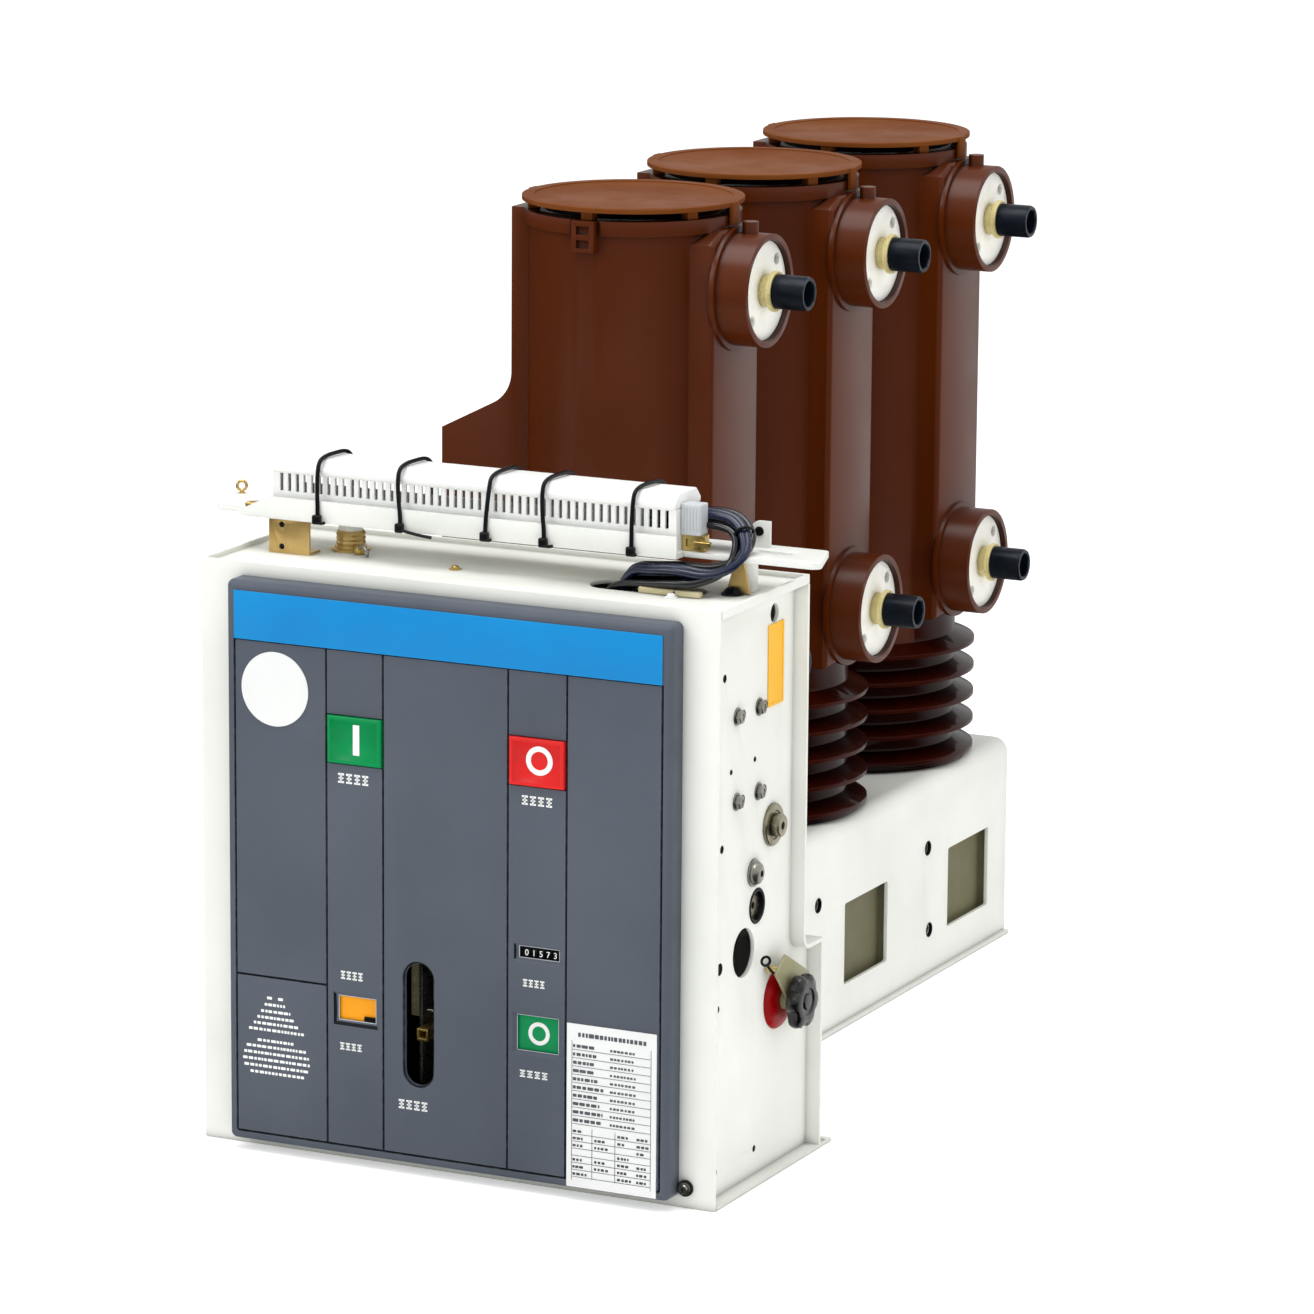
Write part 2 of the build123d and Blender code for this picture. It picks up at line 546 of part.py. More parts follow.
def latch(body):
    """Adds the latch tab with its two small windows to the front of a pole's collar."""
    half = LATCH_WIDTH / 2
    for x0, x1 in ((-half - LATCH_GAP, -half), (half, half + LATCH_GAP)):
        body -= block(x0, x1, -COLLAR_RADIUS - CUT, -TUBE_RADIUS,
                      TUBE_TOP - COLLAR_HEIGHT, TUBE_TOP + CUT)
    front = -COLLAR_RADIUS - LATCH_PROUD
    tab = block(-half, half, front, -TUBE_RADIUS + LATCH_PROUD, TUBE_TOP - LATCH_HEIGHT, TUBE_TOP)
    for drop in LATCH_WINDOW_DROPS:
        z = TUBE_TOP - drop
        tab -= block(-LATCH_WINDOW_WIDTH / 2, LATCH_WINDOW_WIDTH / 2,
                     front - CUT, front + LATCH_WINDOW_DEPTH,
                     z - LATCH_WINDOW_HEIGHT / 2, z + LATCH_WINDOW_HEIGHT / 2)
    return body + tab


def insulator(y):
    """One moulded pole: tube, collar, sheds, terminal rib with its bosses, and the web."""
    profile = make_face(Polyline(*[(r, 0, z) for r, z in insulator_profile()], close=True).edges())
    body = revolve(profile, axis=Axis.Z) + rib() + fin()
    for z in TERMINAL_ZS:
        body += rod_x(BOSS_RADIUS, RIB_REACH - CUT, BOSS_REACH, 0, z)
        body += rod_x(BOSS_FOOT_RADIUS, RIB_REACH - CUT, RIB_REACH + BOSS_FOOT, 0, z)
    body += rod_z(BOSS_LUG_RADIUS, UPPER_TERMINAL_Z + BOSS_RADIUS / 2, TUBE_TOP - BOSS_LUG_DROP,
                  BOSS_LUG_X, 0)
    body -= rod_z(WELL_RADIUS, TUBE_TOP - WELL_DEPTH, TUBE_TOP + CUT, 0, 0)
    seat = BOSS_REACH - DISC_RECESS - DISC_THICKNESS
    for z in TERMINAL_ZS:
        body -= rod_x(DISC_RADIUS + DISC_CLEARANCE, seat, BOSS_REACH + CUT, 0, z)
        body -= rod_x(STUB_SHANK_RADIUS, seat - STUB_SEAT, BOSS_REACH + CUT, 0, z)
    return Pos(POLE_X, y, 0) * latch(body)


def pole_cap(y):
    """The round cap of a pole, held off the collar by pads and held down by two clips."""
    low = TUBE_TOP + CAP_GAP
    high = low + CAP_THICKNESS
    cap = rod_z(CAP_RADIUS, low, high, 0, 0)
    cap -= rod_z(CAP_RADIUS - CAP_RIM, high - CAP_DISH, high + CUT, 0, 0)
    middle = (COLLAR_RADIUS + WELL_RADIUS) / 2
    half = CAP_PAD_LENGTH / 2
    for i in range(CAP_PAD_COUNT):
        pad = block(middle - half, middle + half, -half, half, TUBE_TOP, low + CUT)
        cap += Rot(0, 0, CAP_PAD_TURN + 360 * i / CAP_PAD_COUNT) * pad
    inner = COLLAR_RADIUS + CLIP_CLEARANCE
    for turn, under in ((0, UPPER_TERMINAL_Z + BOSS_FOOT_RADIUS), (180, TUBE_TOP - FIN_DROP)):
        clip = block(inner, inner + CLIP_THICKNESS, -CLIP_WIDTH / 2, CLIP_WIDTH / 2,
                     under + CLIP_CLEARANCE, high)
        clip += block(middle, inner + CLIP_THICKNESS, -CLIP_WIDTH / 2, CLIP_WIDTH / 2, low, high)
        cap += Rot(0, 0, turn) * clip
    return Pos(POLE_X, y, 0) * cap


def terminal_disc():
    """The metal disc set into the rim of a terminal boss, with two holes."""
    x1 = BOSS_REACH - DISC_RECESS
    disc = rod_x(DISC_RADIUS, x1 - DISC_THICKNESS, x1, 0, 0)
    disc -= rod_x(STUB_SHANK_RADIUS, x1 - DISC_THICKNESS - CUT, x1 + CUT, 0, 0)
    for angle in DISC_HOLE_ANGLES:
        a = math.radians(angle)
        disc -= rod_x(DISC_HOLE_RADIUS, x1 - DISC_THICKNESS - CUT, x1 + CUT,
                      DISC_HOLE_CIRCLE * math.cos(a), DISC_HOLE_CIRCLE * math.sin(a))
    return disc


def terminal_ring():
    """The collar ring round a stub, against its disc."""
    x0 = BOSS_REACH - DISC_RECESS
    x1 = x0 + RING_THICKNESS
    ring = rod_x(RING_RADIUS, x0, x1, 0, 0)
    return ring - rod_x(STUB_SHANK_RADIUS + RING_CLEARANCE, x0 - CUT, x1 + CUT, 0, 0)


def terminal_stub():
    """The round contact stub with its hollow end."""
    seat = BOSS_REACH - DISC_RECESS - DISC_THICKNESS
    shoulder = BOSS_REACH - DISC_RECESS + RING_THICKNESS
    stub = rod_x(STUB_SHANK_RADIUS, seat - STUB_SEAT, shoulder, 0, 0)
    stub += rod_x(STUB_RADIUS, shoulder, STUB_REACH, 0, 0)
    return stub - rod_x(STUB_BORE, STUB_REACH - STUB_BORE_DEPTH, STUB_REACH + CUT, 0, 0)


def at_every_terminal(shape):
    """Six copies of a shape, one on each terminal's axis."""
    return Compound(children=[Pos(POLE_X, y, z) * shape for y in POLE_YS for z in TERMINAL_ZS])


# Control panel

def tapered_recess(outer, inner):
    """A cut with sloping sides from one rectangle on the cover's face to a smaller one behind it."""
    ends = []
    depths = (COVER_FRONT - GROOVE_DEPTH, COVER_FRONT + RECESS_DEPTH)
    for (left, right, bottom, top), y in zip((outer, inner), depths):
        plane = Plane(origin=(BOX_LEFT + (left + right) / 2, y, (bottom + top) / 2),
                      x_dir=(1, 0, 0), z_dir=(0, 1, 0))
        ends.append(plane * Rectangle(right - left, top - bottom))
    return loft(ends)


def lever_slot(margin, y0, y1):
    """The slot of the charging lever as a solid to cut with, wider by a margin all round."""
    r = LEVER_SLOT_WIDTH / 2
    x = BOX_LEFT + LEVER_SLOT_X
    low, high = LEVER_SLOT_BOTTOM + r, LEVER_SLOT_TOP - r
    slot = block(x - r - margin, x + r + margin, y0, y1, low, high)
    return slot + rod_y(r + margin, y0, y1, x, low) + rod_y(r + margin, y0, y1, x, high)


def front_cover():
    """The moulded cover with its windows, button openings, lever slot and grooves."""
    y1 = COVER_FRONT + COVER_WALL + CUT
    whole = (COVER_LEFT_MARGIN, COVER_RIGHT, COVER_BOTTOM, COVER_TOP)
    cover = panel_box(whole, COVER_FRONT, BOX_FRONT)
    rounded = cover.faces().sort_by(Axis.Y)[0].edges() + cover.edges().filter_by(Axis.Y)
    cover = fillet(rounded, COVER_EDGE_RADIUS)
    cover -= panel_box(whole, COVER_FRONT + COVER_WALL, BOX_FRONT + CUT, -COVER_WALL)
    left, right, bottom, top = BORDER
    half = GROOVE_WIDTH / 2
    grooves = [(x - half, x + half, bottom, STRIP_BOTTOM) for x in (left, *GROOVE_XS, right)]
    grooves += [(left, right, z - half, z + half) for z in (bottom, STRIP_BOTTOM)]
    grooves.append((left, GROOVE_XS[0], CROSS_GROOVE_Z - half, CROSS_GROOVE_Z + half))
    for place in grooves:
        cover -= panel_box(place, COVER_FRONT - CUT, COVER_FRONT + GROOVE_DEPTH)
    w, h = BUTTON_WIDTH / 2, BUTTON_HEIGHT / 2
    for x in (CLOSE_BUTTON_X, OPEN_BUTTON_X):
        place = (x - w, x + w, BUTTON_Z - h, BUTTON_Z + h)
        cover -= panel_box(place, COVER_FRONT - CUT, y1, BUTTON_CLEARANCE)
    for recess, window in ((CHARGE_RECESS, CHARGE_WINDOW), (COUNTER_RECESS, COUNTER_WINDOW),
                           (POSITION_RECESS, POSITION_WINDOW)):
        cover -= tapered_recess(recess, window)
        cover -= panel_box(window, COVER_FRONT, y1)
    cover -= lever_slot(0, COVER_FRONT - CUT, y1)
    return cover - lever_slot(LEVER_SLOT_EDGE, COVER_FRONT - CUT, COVER_FRONT + LEVER_SLOT_EDGE)


def button(x):
    """A square push button that rests in its opening and is pushed in."""
    w, h = BUTTON_WIDTH / 2, BUTTON_HEIGHT / 2
    front = COVER_FRONT - BUTTON_PROUD
    cap = panel_box((x - w, x + w, BUTTON_Z - h, BUTTON_Z + h), front, front + BUTTON_DEPTH)
    return fillet(cap.faces().sort_by(Axis.Y)[0].edges(), BUTTON_EDGE_RADIUS)


def window_piece(place, depth):
    """What shows through a window of the cover, lying against the cover's inner face."""
    return panel_box(place, COVER_FRONT + COVER_WALL, COVER_FRONT + COVER_WALL + depth, WINDOW_LIP)


def cover_label(place):
    """A thin plate on the cover's face."""
    return panel_box(place, COVER_FRONT - LABEL_THICKNESS, COVER_FRONT)


def rating_plate():
    """The white plate at the lower right of the cover."""
    right = BORDER[1] - RATING_PLATE_MARGIN
    bottom = COVER_BOTTOM + RATING_PLATE_MARGIN
    return cover_label((right - RATING_PLATE_WIDTH, right, bottom, bottom + RATING_PLATE_HEIGHT))


def charging_lever():
    """The lever in the slot: an arm with a square socket, turning on its axle."""
    x, w = BOX_LEFT + LEVER_SLOT_X, LEVER_THICKNESS / 2
    front = COVER_FRONT + LEVER_SETBACK
    arm = block(x - w, x + w, front, LEVER_AXLE_Y, LEVER_Z - w, LEVER_Z + w)
    arm += rod_x(LEVER_AXLE_RADIUS + LEVER_HUB_WALL, x - w, x + w, LEVER_AXLE_Y, LEVER_Z)
    arm -= rod_x(LEVER_AXLE_RADIUS + AXLE_CLEARANCE, x - w - CUT, x + w + CUT, LEVER_AXLE_Y, LEVER_Z)
    h = LEVER_SOCKET / 2
    return arm - block(x - h, x + h, front - CUT, front + LEVER_SOCKET_DEPTH, LEVER_Z - h, LEVER_Z + h)


def charging_bracket():
    """The folded bracket on the box's floor that holds the lever's axle between its cheeks."""
    x = BOX_LEFT + LEVER_SLOT_X
    inner = LEVER_THICKNESS / 2 + LEVER_SIDE_GAP
    outer = inner + BRACKET_SHEET
    y0, y1 = BOX_FRONT + 2 * SHEET, LEVER_AXLE_Y + BRACKET_TAIL
    bracket = block(x - outer, x + outer, y0, y1, SHEET, BRACKET_TOP)
    bracket -= block(x - inner, x + inner, y0 - CUT, y1 - BRACKET_SHEET,
                     SHEET + BRACKET_SHEET, BRACKET_TOP + CUT)
    return bracket + rod_x(LEVER_AXLE_RADIUS, x - inner - CUT, x + inner + CUT, LEVER_AXLE_Y, LEVER_Z)


# Right side of the box

def side_shafts():
    """The end of the main shaft with its washer, and the cross shaft seen inside its hole."""
    y, z = BOX_FRONT + SHAFT_PLACE[0], SHAFT_PLACE[1]
    washer = rod_x(SHAFT_WASHER_RADIUS, SIDE_OUTER, SIDE_OUTER + SHAFT_WASHER, y, z)
    end = washer + rod_x(SHAFT_RADIUS, SIDE_OUTER, SIDE_OUTER + SHAFT_PROUD, y, z)
    cross = rod_x(CROSS_SHAFT_RADIUS, LEFT_SIDE_INNER, SIDE_INNER,
                  BOX_FRONT + CROSS_SHAFT[0], CROSS_SHAFT[1])
    return Compound(children=[end, cross])


def side_bolts():
    """Four hexagon heads and one domed head on the right side plate."""
    heads = []
    for depth, z in SIDE_BOLTS:
        hexagon = Plane.YZ * RegularPolygon(SIDE_BOLT_RADIUS, 6)
        heads.append(Pos(SIDE_OUTER, BOX_FRONT + depth, z) * extrude(hexagon, amount=SIDE_BOLT_HEAD))
    depth, z = DOME_BOLT
    dome = rod_x(DOME_RADIUS, SIDE_OUTER, SIDE_OUTER + DOME_HEIGHT, BOX_FRONT + depth, z)
    heads.append(chamfer(dome.faces().sort_by(Axis.X)[-1].edges(), DOME_BEVEL))
    return Compound(children=heads)


def side_label():
    """The plate high on the right side."""
    top = BOX_HEIGHT - SIDE_LABEL_DROP
    return block(SIDE_OUTER, SIDE_OUTER + LABEL_THICKNESS, BOX_FRONT + SIDE_LABEL[0],
                 BOX_FRONT + SIDE_LABEL[1], top - SIDE_LABEL_HEIGHT, top)


def interlock_disc():
    """The red disc of the interlock, flat against the side plate."""
    y, z = BOX_FRONT + INTERLOCK_PLACE[0], INTERLOCK_PLACE[1]
    disc = rod_x(INTERLOCK_DISC_RADIUS, SIDE_OUTER, SIDE_OUTER + INTERLOCK_DISC_THICKNESS, y, z)
    return chamfer(disc.faces().sort_by(Axis.X)[-1].edges(), INTERLOCK_DISC_BEVEL)


def interlock_plate():
    """The flat leaf between the disc and the knob, on its hub."""
    y, z = BOX_FRONT + INTERLOCK_PLACE[0], INTERLOCK_PLACE[1]
    x = SIDE_OUTER + INTERLOCK_PLATE_REACH
    leaf = slab_x(outline_yz([(y + dy, z + dz) for dy, dz in INTERLOCK_PLATE_CORNERS]),
                  x, x + INTERLOCK_PLATE_SHEET)
    return leaf + rod_x(INTERLOCK_HUB_RADIUS, SIDE_OUTER + INTERLOCK_DISC_THICKNESS, x + CUT, y, z)


def interlock_knob():
    """The black knob with scalloped edge."""
    y, z = BOX_FRONT + INTERLOCK_PLACE[0], INTERLOCK_PLACE[1]
    x = SIDE_OUTER + INTERLOCK_PLATE_REACH + INTERLOCK_PLATE_SHEET
    knob = rod_x(INTERLOCK_KNOB_RADIUS, x, x + INTERLOCK_KNOB_THICKNESS, y, z)
    for i in range(INTERLOCK_KNOB_LOBES):
        a = 2 * math.pi * i / INTERLOCK_KNOB_LOBES
        reach = INTERLOCK_KNOB_RADIUS + INTERLOCK_KNOB_SCALLOP / 2
        knob -= rod_x(INTERLOCK_KNOB_SCALLOP, x - CUT, x + INTERLOCK_KNOB_THICKNESS + CUT,
                      y + reach * math.cos(a), z + reach * math.sin(a))
    return knob


# On top of the box

def lifting_bar():
    """The bar across the top: slotted ends, shelf with its front edge turned up, posts and a tab."""
    front, rear = BOX_FRONT + BAR_FRONT, BOX_FRONT + BAR_REAR
    left, right = BOX_LEFT + BAR_LEFT, BOX_LEFT + BAR_RIGHT
    corners = [(left + BAR_SLANT, front), (right, front), (right - BAR_SLANT, rear), (left, rear)]
    bar = extrude(make_face(Polyline(*[(x, y, BAR_Z) for x, y in corners], close=True).edges()),
                  amount=BAR_THICKNESS, dir=(0, 0, 1))
    bar = fillet(bar.edges().filter_by(Axis.Z), BAR_CORNER)
    for x in (left + BAR_SLOT_INSET, right - BAR_SLOT_INSET):
        bar -= rounded_slot(BAR_SLOT_LENGTH, BAR_SLOT_WIDTH, BAR_Z - CUT, BAR_TOP + CUT,
                            x, (front + rear) / 2)
    x0, x1, y0 = BOX_LEFT + SHELF_LEFT, BOX_LEFT + SHELF_RIGHT, BOX_FRONT + SHELF_FRONT
    bar += block(x0, x1, y0, front + CUT, BAR_Z, BAR_TOP)
    lip = outline_xz([(x0, BAR_Z), (x1, BAR_Z), (x1, BAR_Z + SHELF_LIP),
                      (x0 + SHELF_LIP_TAPER, BAR_Z + SHELF_LIP), (x0, BAR_TOP)])
    bar += Pos(0, y0, 0) * extrude(lip, amount=SHELF_LIP_SHEET, dir=(0, 1, 0))
    for x in BAR_POST_XS:
        bar += rod_z(BAR_POST_RADIUS, TRAY_TOP, BAR_Z + CUT, BOX_LEFT + x, BOX_FRONT + BAR_POST_Y)
    tab = block(BOX_LEFT + TAB_LEFT, BOX_LEFT + TAB_LEFT + TAB_WIDTH, BOX_FRONT + TAB_Y,
                BOX_FRONT + TAB_Y + TAB_SHEET, BAR_TOP - CUT, BAR_TOP + TAB_HEIGHT)
    corner = tab.edges().filter_by(Axis.Y).group_by(Axis.Z)[-1].sort_by(Axis.X)[0]
    return bar + fillet(corner, TAB_CORNER)


def wiring_duct():
    """The duct that lies on the lifting bar, with combed walls, open above and partly at its right end."""
    x0, x1 = BOX_LEFT + DUCT_LEFT, BOX_LEFT + DUCT_RIGHT
    y0, y1 = BOX_FRONT + DUCT_FRONT, BOX_FRONT + DUCT_REAR
    duct = block(x0, x1, y0, y1, BAR_TOP, DUCT_TOP)
    duct -= block(x0 + DUCT_WALL, x1 + CUT, y0 + DUCT_WALL, y1 - DUCT_WALL,
                  BAR_TOP + DUCT_WALL, DUCT_TOP + CUT)
    top = DUCT_TOP - DUCT_SLOT_DROP
    count = int((DUCT_RIGHT - DUCT_LEFT - 2 * DUCT_END_MARGIN) / DUCT_SLOT_PITCH) + 1
    cuts = [block(x, x + DUCT_SLOT_WIDTH, y0 - CUT, y1 + CUT, top - DUCT_SLOT_HEIGHT, top)
            for x in (x0 + DUCT_END_MARGIN + i * DUCT_SLOT_PITCH for i in range(count))]
    duct -= cuts
    duct += block(x1 - DUCT_WALL, x1, y0, y0 + DUCT_END_WIDTH, BAR_TOP, DUCT_TOP)
    divider = BOX_LEFT + DUCT_DIVIDER_X
    return duct + block(divider, divider + DUCT_WALL, y0 + DUCT_WALL, y1 - DUCT_WALL,
                        BAR_TOP + DUCT_WALL, DUCT_TOP)


def lid_outline():
    """Section of the duct's lid, its upper edges bevelled."""
    y0, y1 = BOX_FRONT + DUCT_FRONT - DUCT_LID_OVERHANG, BOX_FRONT + DUCT_REAR + DUCT_LID_OVERHANG
    shoulder = LID_TOP - DUCT_LID_BEVEL
    return [(y0, DUCT_TOP), (y1, DUCT_TOP), (y1, shoulder), (y1 - DUCT_LID_BEVEL, LID_TOP),
            (y0 + DUCT_LID_BEVEL, LID_TOP), (y0, shoulder)]


def duct_cover():
    """The lid of the duct."""
    return slab_x(outline_yz(lid_outline()), BOX_LEFT + DUCT_LEFT, BOX_LEFT + DUCT_RIGHT)


def duct_ties():
    """The cable ties round the duct, its lid and the bar."""
    lid = lid_outline()
    front, rear = BOX_FRONT + SHELF_FRONT, BOX_FRONT + BAR_REAR
    section = [(front, BAR_Z), (rear, BAR_Z), (rear, BAR_TOP), *lid[2:], (front, BAR_Z + SHELF_LIP)]
    inner = outline_yz(section)
    outer = offset(inner, amount=TIE_THICKNESS)
    ties = []
    for place in TIE_XS:
        x0, x1 = BOX_LEFT + place - TIE_WIDTH / 2, BOX_LEFT + place + TIE_WIDTH / 2
        tie = slab_x(outer, x0, x1) - slab_x(inner, x0 - CUT, x1 + CUT)
        ties.append(tie - block(x0 - CUT, x1 + CUT, front + TIE_HOOK, rear - TIE_HOOK, TRAY_TOP, BAR_Z))
    return Compound(children=ties)


def duct_bracket():
    """The bracket between the tray and the shelf, folded like a Z, with two holes in its front."""
    x0 = BOX_LEFT + YELLOW_BRACKET_LEFT
    x1 = x0 + YELLOW_BRACKET_WIDTH
    y0 = BOX_FRONT + SHELF_FRONT + SHELF_LIP_SHEET
    sheet, foot = YELLOW_BRACKET_SHEET, YELLOW_BRACKET_FOOT
    bracket = block(x0, x1, y0, y0 + sheet, TRAY_TOP, BAR_Z)
    bracket += block(x0, x1, y0, y0 + foot, TRAY_TOP, TRAY_TOP + sheet)
    bracket += block(x0, x1, y0, y0 + foot, BAR_Z - sheet, BAR_Z)
    for dx, drop in YELLOW_BRACKET_HOLES:
        bracket -= rod_y(YELLOW_BRACKET_HOLE_RADIUS, y0 - CUT, y0 + sheet + CUT, x0 + dx, BAR_Z - drop)
    return bracket


def plug_connector():
    """The plug at the right end of the duct, on its metal seat."""
    x0 = BOX_LEFT + DUCT_RIGHT
    y0 = BOX_FRONT + PLUG_FRONT
    seat = block(x0, x0 + PLUG_LENGTH, y0 + PLUG_STEP, y0 + PLUG_WIDTH - PLUG_STEP,
                 BAR_TOP, BAR_TOP + PLUG_BASE_HEIGHT + CUT)
    return seat + block(x0, x0 + PLUG_LENGTH - PLUG_STEP, y0, y0 + PLUG_WIDTH,
                        BAR_TOP + PLUG_BASE_HEIGHT, BAR_TOP + PLUG_HEIGHT)


def wire_path():
    """The line of the bundle of wires: straight runs joined by arcs that touch them."""
    points = [Vector(BOX_LEFT + x, BOX_FRONT + y, BOX_HEIGHT + z) for x, y, z in WIRE_ROUTE]
    radii = []
    for before, corner, after in zip(points, points[1:], points[2:]):
        first, second = corner - before, after - corner
        half_turn = math.radians(first.get_angle(second)) / 2
        radii.append(RUN_SHARE * min(first.length, second.length) / math.tan(half_turn))
    print("wire bend radii", [round(r, 1) for r in radii])
    return FilletPolyline(*points, radius=radii)


def loom_wires():
    """Three wires side by side along one path, two below and one above."""
    path = wire_path()
    step = 2 * WIRE_RADIUS + WIRE_GAP
    rise = step * math.sin(math.pi / 3)
    start = Plane(origin=path @ 0, x_dir=(0, 1, 0), z_dir=path % 0)
    wires = []
    for u, v in ((-step / 2, 0), (step / 2, 0), (0, rise)):
        section = start * Pos(u, v) * Circle(WIRE_RADIUS)
        wires.append(sweep(section, path=path))
    return wires


def make_nodes():
    """Every piece under its node name."""
    nodes = {
        "front_frame": front_frame(),
        "left_side_plate": side_plate(-1),
        "right_side_plate": side_plate(1),
        "top_tray": top_tray(),
        "back_plate": back_plate(),
        "bottom_plate": bottom_plate(),
        "base_frame": base_frame(),
        "base_screens": base_screens(),
        "front_cover": front_cover(),
        "close_button": button(CLOSE_BUTTON_X),
        "open_button": button(OPEN_BUTTON_X),
        "charge_indicator": window_piece(CHARGE_WINDOW, INDICATOR_THICKNESS),
        "operation_counter": window_piece(COUNTER_WINDOW, COUNTER_THICKNESS),
        "position_indicator": window_piece(POSITION_WINDOW, INDICATOR_THICKNESS),
        "name_strip": cover_label((BORDER[0], BORDER[1], STRIP_BOTTOM, BORDER[3])),
        "rating_plate": rating_plate(),
        "blank_disc": rod_y(BLANK_DISC_RADIUS, COVER_FRONT - LABEL_THICKNESS, COVER_FRONT,
                            BOX_LEFT + BLANK_DISC_X, COVER_TOP - BLANK_DISC_DROP),
        "cover_screw": rod_y(COVER_SCREW_RADIUS, BOX_FRONT - COVER_SCREW_HEAD, BOX_FRONT,
                             BOX_LEFT + COVER_RIGHT + COVER_SCREW_GAP, COVER_SCREW_Z),
        "charging_lever": charging_lever(),
        "charging_bracket": charging_bracket(),
        "side_shafts": side_shafts(),
        "side_bolts": side_bolts(),
        "side_label": side_label(),
        "interlock_disc": interlock_disc(),
        "interlock_plate": interlock_plate(),
        "interlock_knob": interlock_knob(),
        "lifting_bar": lifting_bar(),
        "wiring_duct": wiring_duct(),
        "duct_cover": duct_cover(),
        "duct_ties": duct_ties(),
        "duct_bracket": duct_bracket(),
        "plug_connector": plug_connector(),
        "terminal_discs": at_every_terminal(terminal_disc()),
        "terminal_rings": at_every_terminal(terminal_ring()),
        "terminal_stubs": at_every_terminal(terminal_stub()),
    }
    for i, y in enumerate(POLE_YS, 1):
        nodes[f"insulator_{i}"] = insulator(y)
        nodes[f"pole_cap_{i}"] = pole_cap(y)
    for i, wire in enumerate(loom_wires(), 1):
        nodes[f"loom_wire_{i}"] = wire
    return nodes


os.makedirs("parts", exist_ok=True)
for name, shape in make_nodes().items():
    shape.label = name
    export_step(shape, f"parts/{name}.step")
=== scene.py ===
"""Dresses the indoor vacuum circuit breaker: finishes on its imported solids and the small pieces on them.

Places on the breaker are in millimetres from the drive box's left edge, its front and the floor.
"""

from __future__ import annotations

import json
import logging
import math
import random
from dataclasses import dataclass, field
from enum import Enum
from typing import Callable

import bmesh
import bpy
from mathutils import Matrix, Vector

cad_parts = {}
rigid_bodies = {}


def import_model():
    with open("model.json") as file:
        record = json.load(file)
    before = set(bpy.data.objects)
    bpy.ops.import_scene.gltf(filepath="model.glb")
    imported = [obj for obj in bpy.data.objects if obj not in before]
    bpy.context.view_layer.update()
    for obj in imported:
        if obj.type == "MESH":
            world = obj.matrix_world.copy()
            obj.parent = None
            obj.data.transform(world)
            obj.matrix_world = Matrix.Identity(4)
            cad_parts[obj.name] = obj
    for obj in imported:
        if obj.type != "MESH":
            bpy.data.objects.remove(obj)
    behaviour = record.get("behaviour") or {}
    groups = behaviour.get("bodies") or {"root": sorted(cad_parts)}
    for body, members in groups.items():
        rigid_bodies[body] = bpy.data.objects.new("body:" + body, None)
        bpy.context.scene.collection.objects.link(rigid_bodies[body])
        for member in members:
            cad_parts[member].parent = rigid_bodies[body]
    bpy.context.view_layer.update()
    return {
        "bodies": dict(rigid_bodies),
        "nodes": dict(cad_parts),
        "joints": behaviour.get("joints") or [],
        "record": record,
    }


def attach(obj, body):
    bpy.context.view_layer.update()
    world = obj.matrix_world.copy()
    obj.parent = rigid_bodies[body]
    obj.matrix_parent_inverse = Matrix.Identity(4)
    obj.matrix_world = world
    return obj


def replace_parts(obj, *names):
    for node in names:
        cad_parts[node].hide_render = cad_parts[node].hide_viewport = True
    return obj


LOG = logging.getLogger("breaker")
BOX_LEFT = -207.0
BOX_FRONT = -395.25
COVER_Y = -18.0
SIDE_X = 399.0
TRAY_FLOOR = 426.0
GLOSS_FINER = 4
SHADER_SAMPLES = 4
MERGE_WITHIN = 2e-6
FLAT_WITHIN = math.radians(0.6)
POLE_X = 196.0
POLE_YS = (297.5, 507.5, 717.5)
TERMINAL_ZS = (604.0, 329.0)
BODY = "breaker"
X_AXIS = Vector((1.0, 0.0, 0.0))
TO_FRONT = Vector((0.0, -1.0, 0.0))
Z_AXIS = Vector((0.0, 0.0, 1.0))


def spot(x: float, y: float, z: float) -> Vector:
    """Gives the row's point, in metres, for a place on the box in millimetres."""
    return Vector(((BOX_LEFT + x) / 1000, (BOX_FRONT + y) / 1000, z / 1000))


def tint(red: float, green: float, blue: float) -> tuple[float, float, float, float]:
    """Turns a display colour of 0 to 255 into the linear one that shaders take."""
    return tuple(pow(c / 255, 2.2) for c in (red, green, blue)) + (1.0,)


# Shared effects

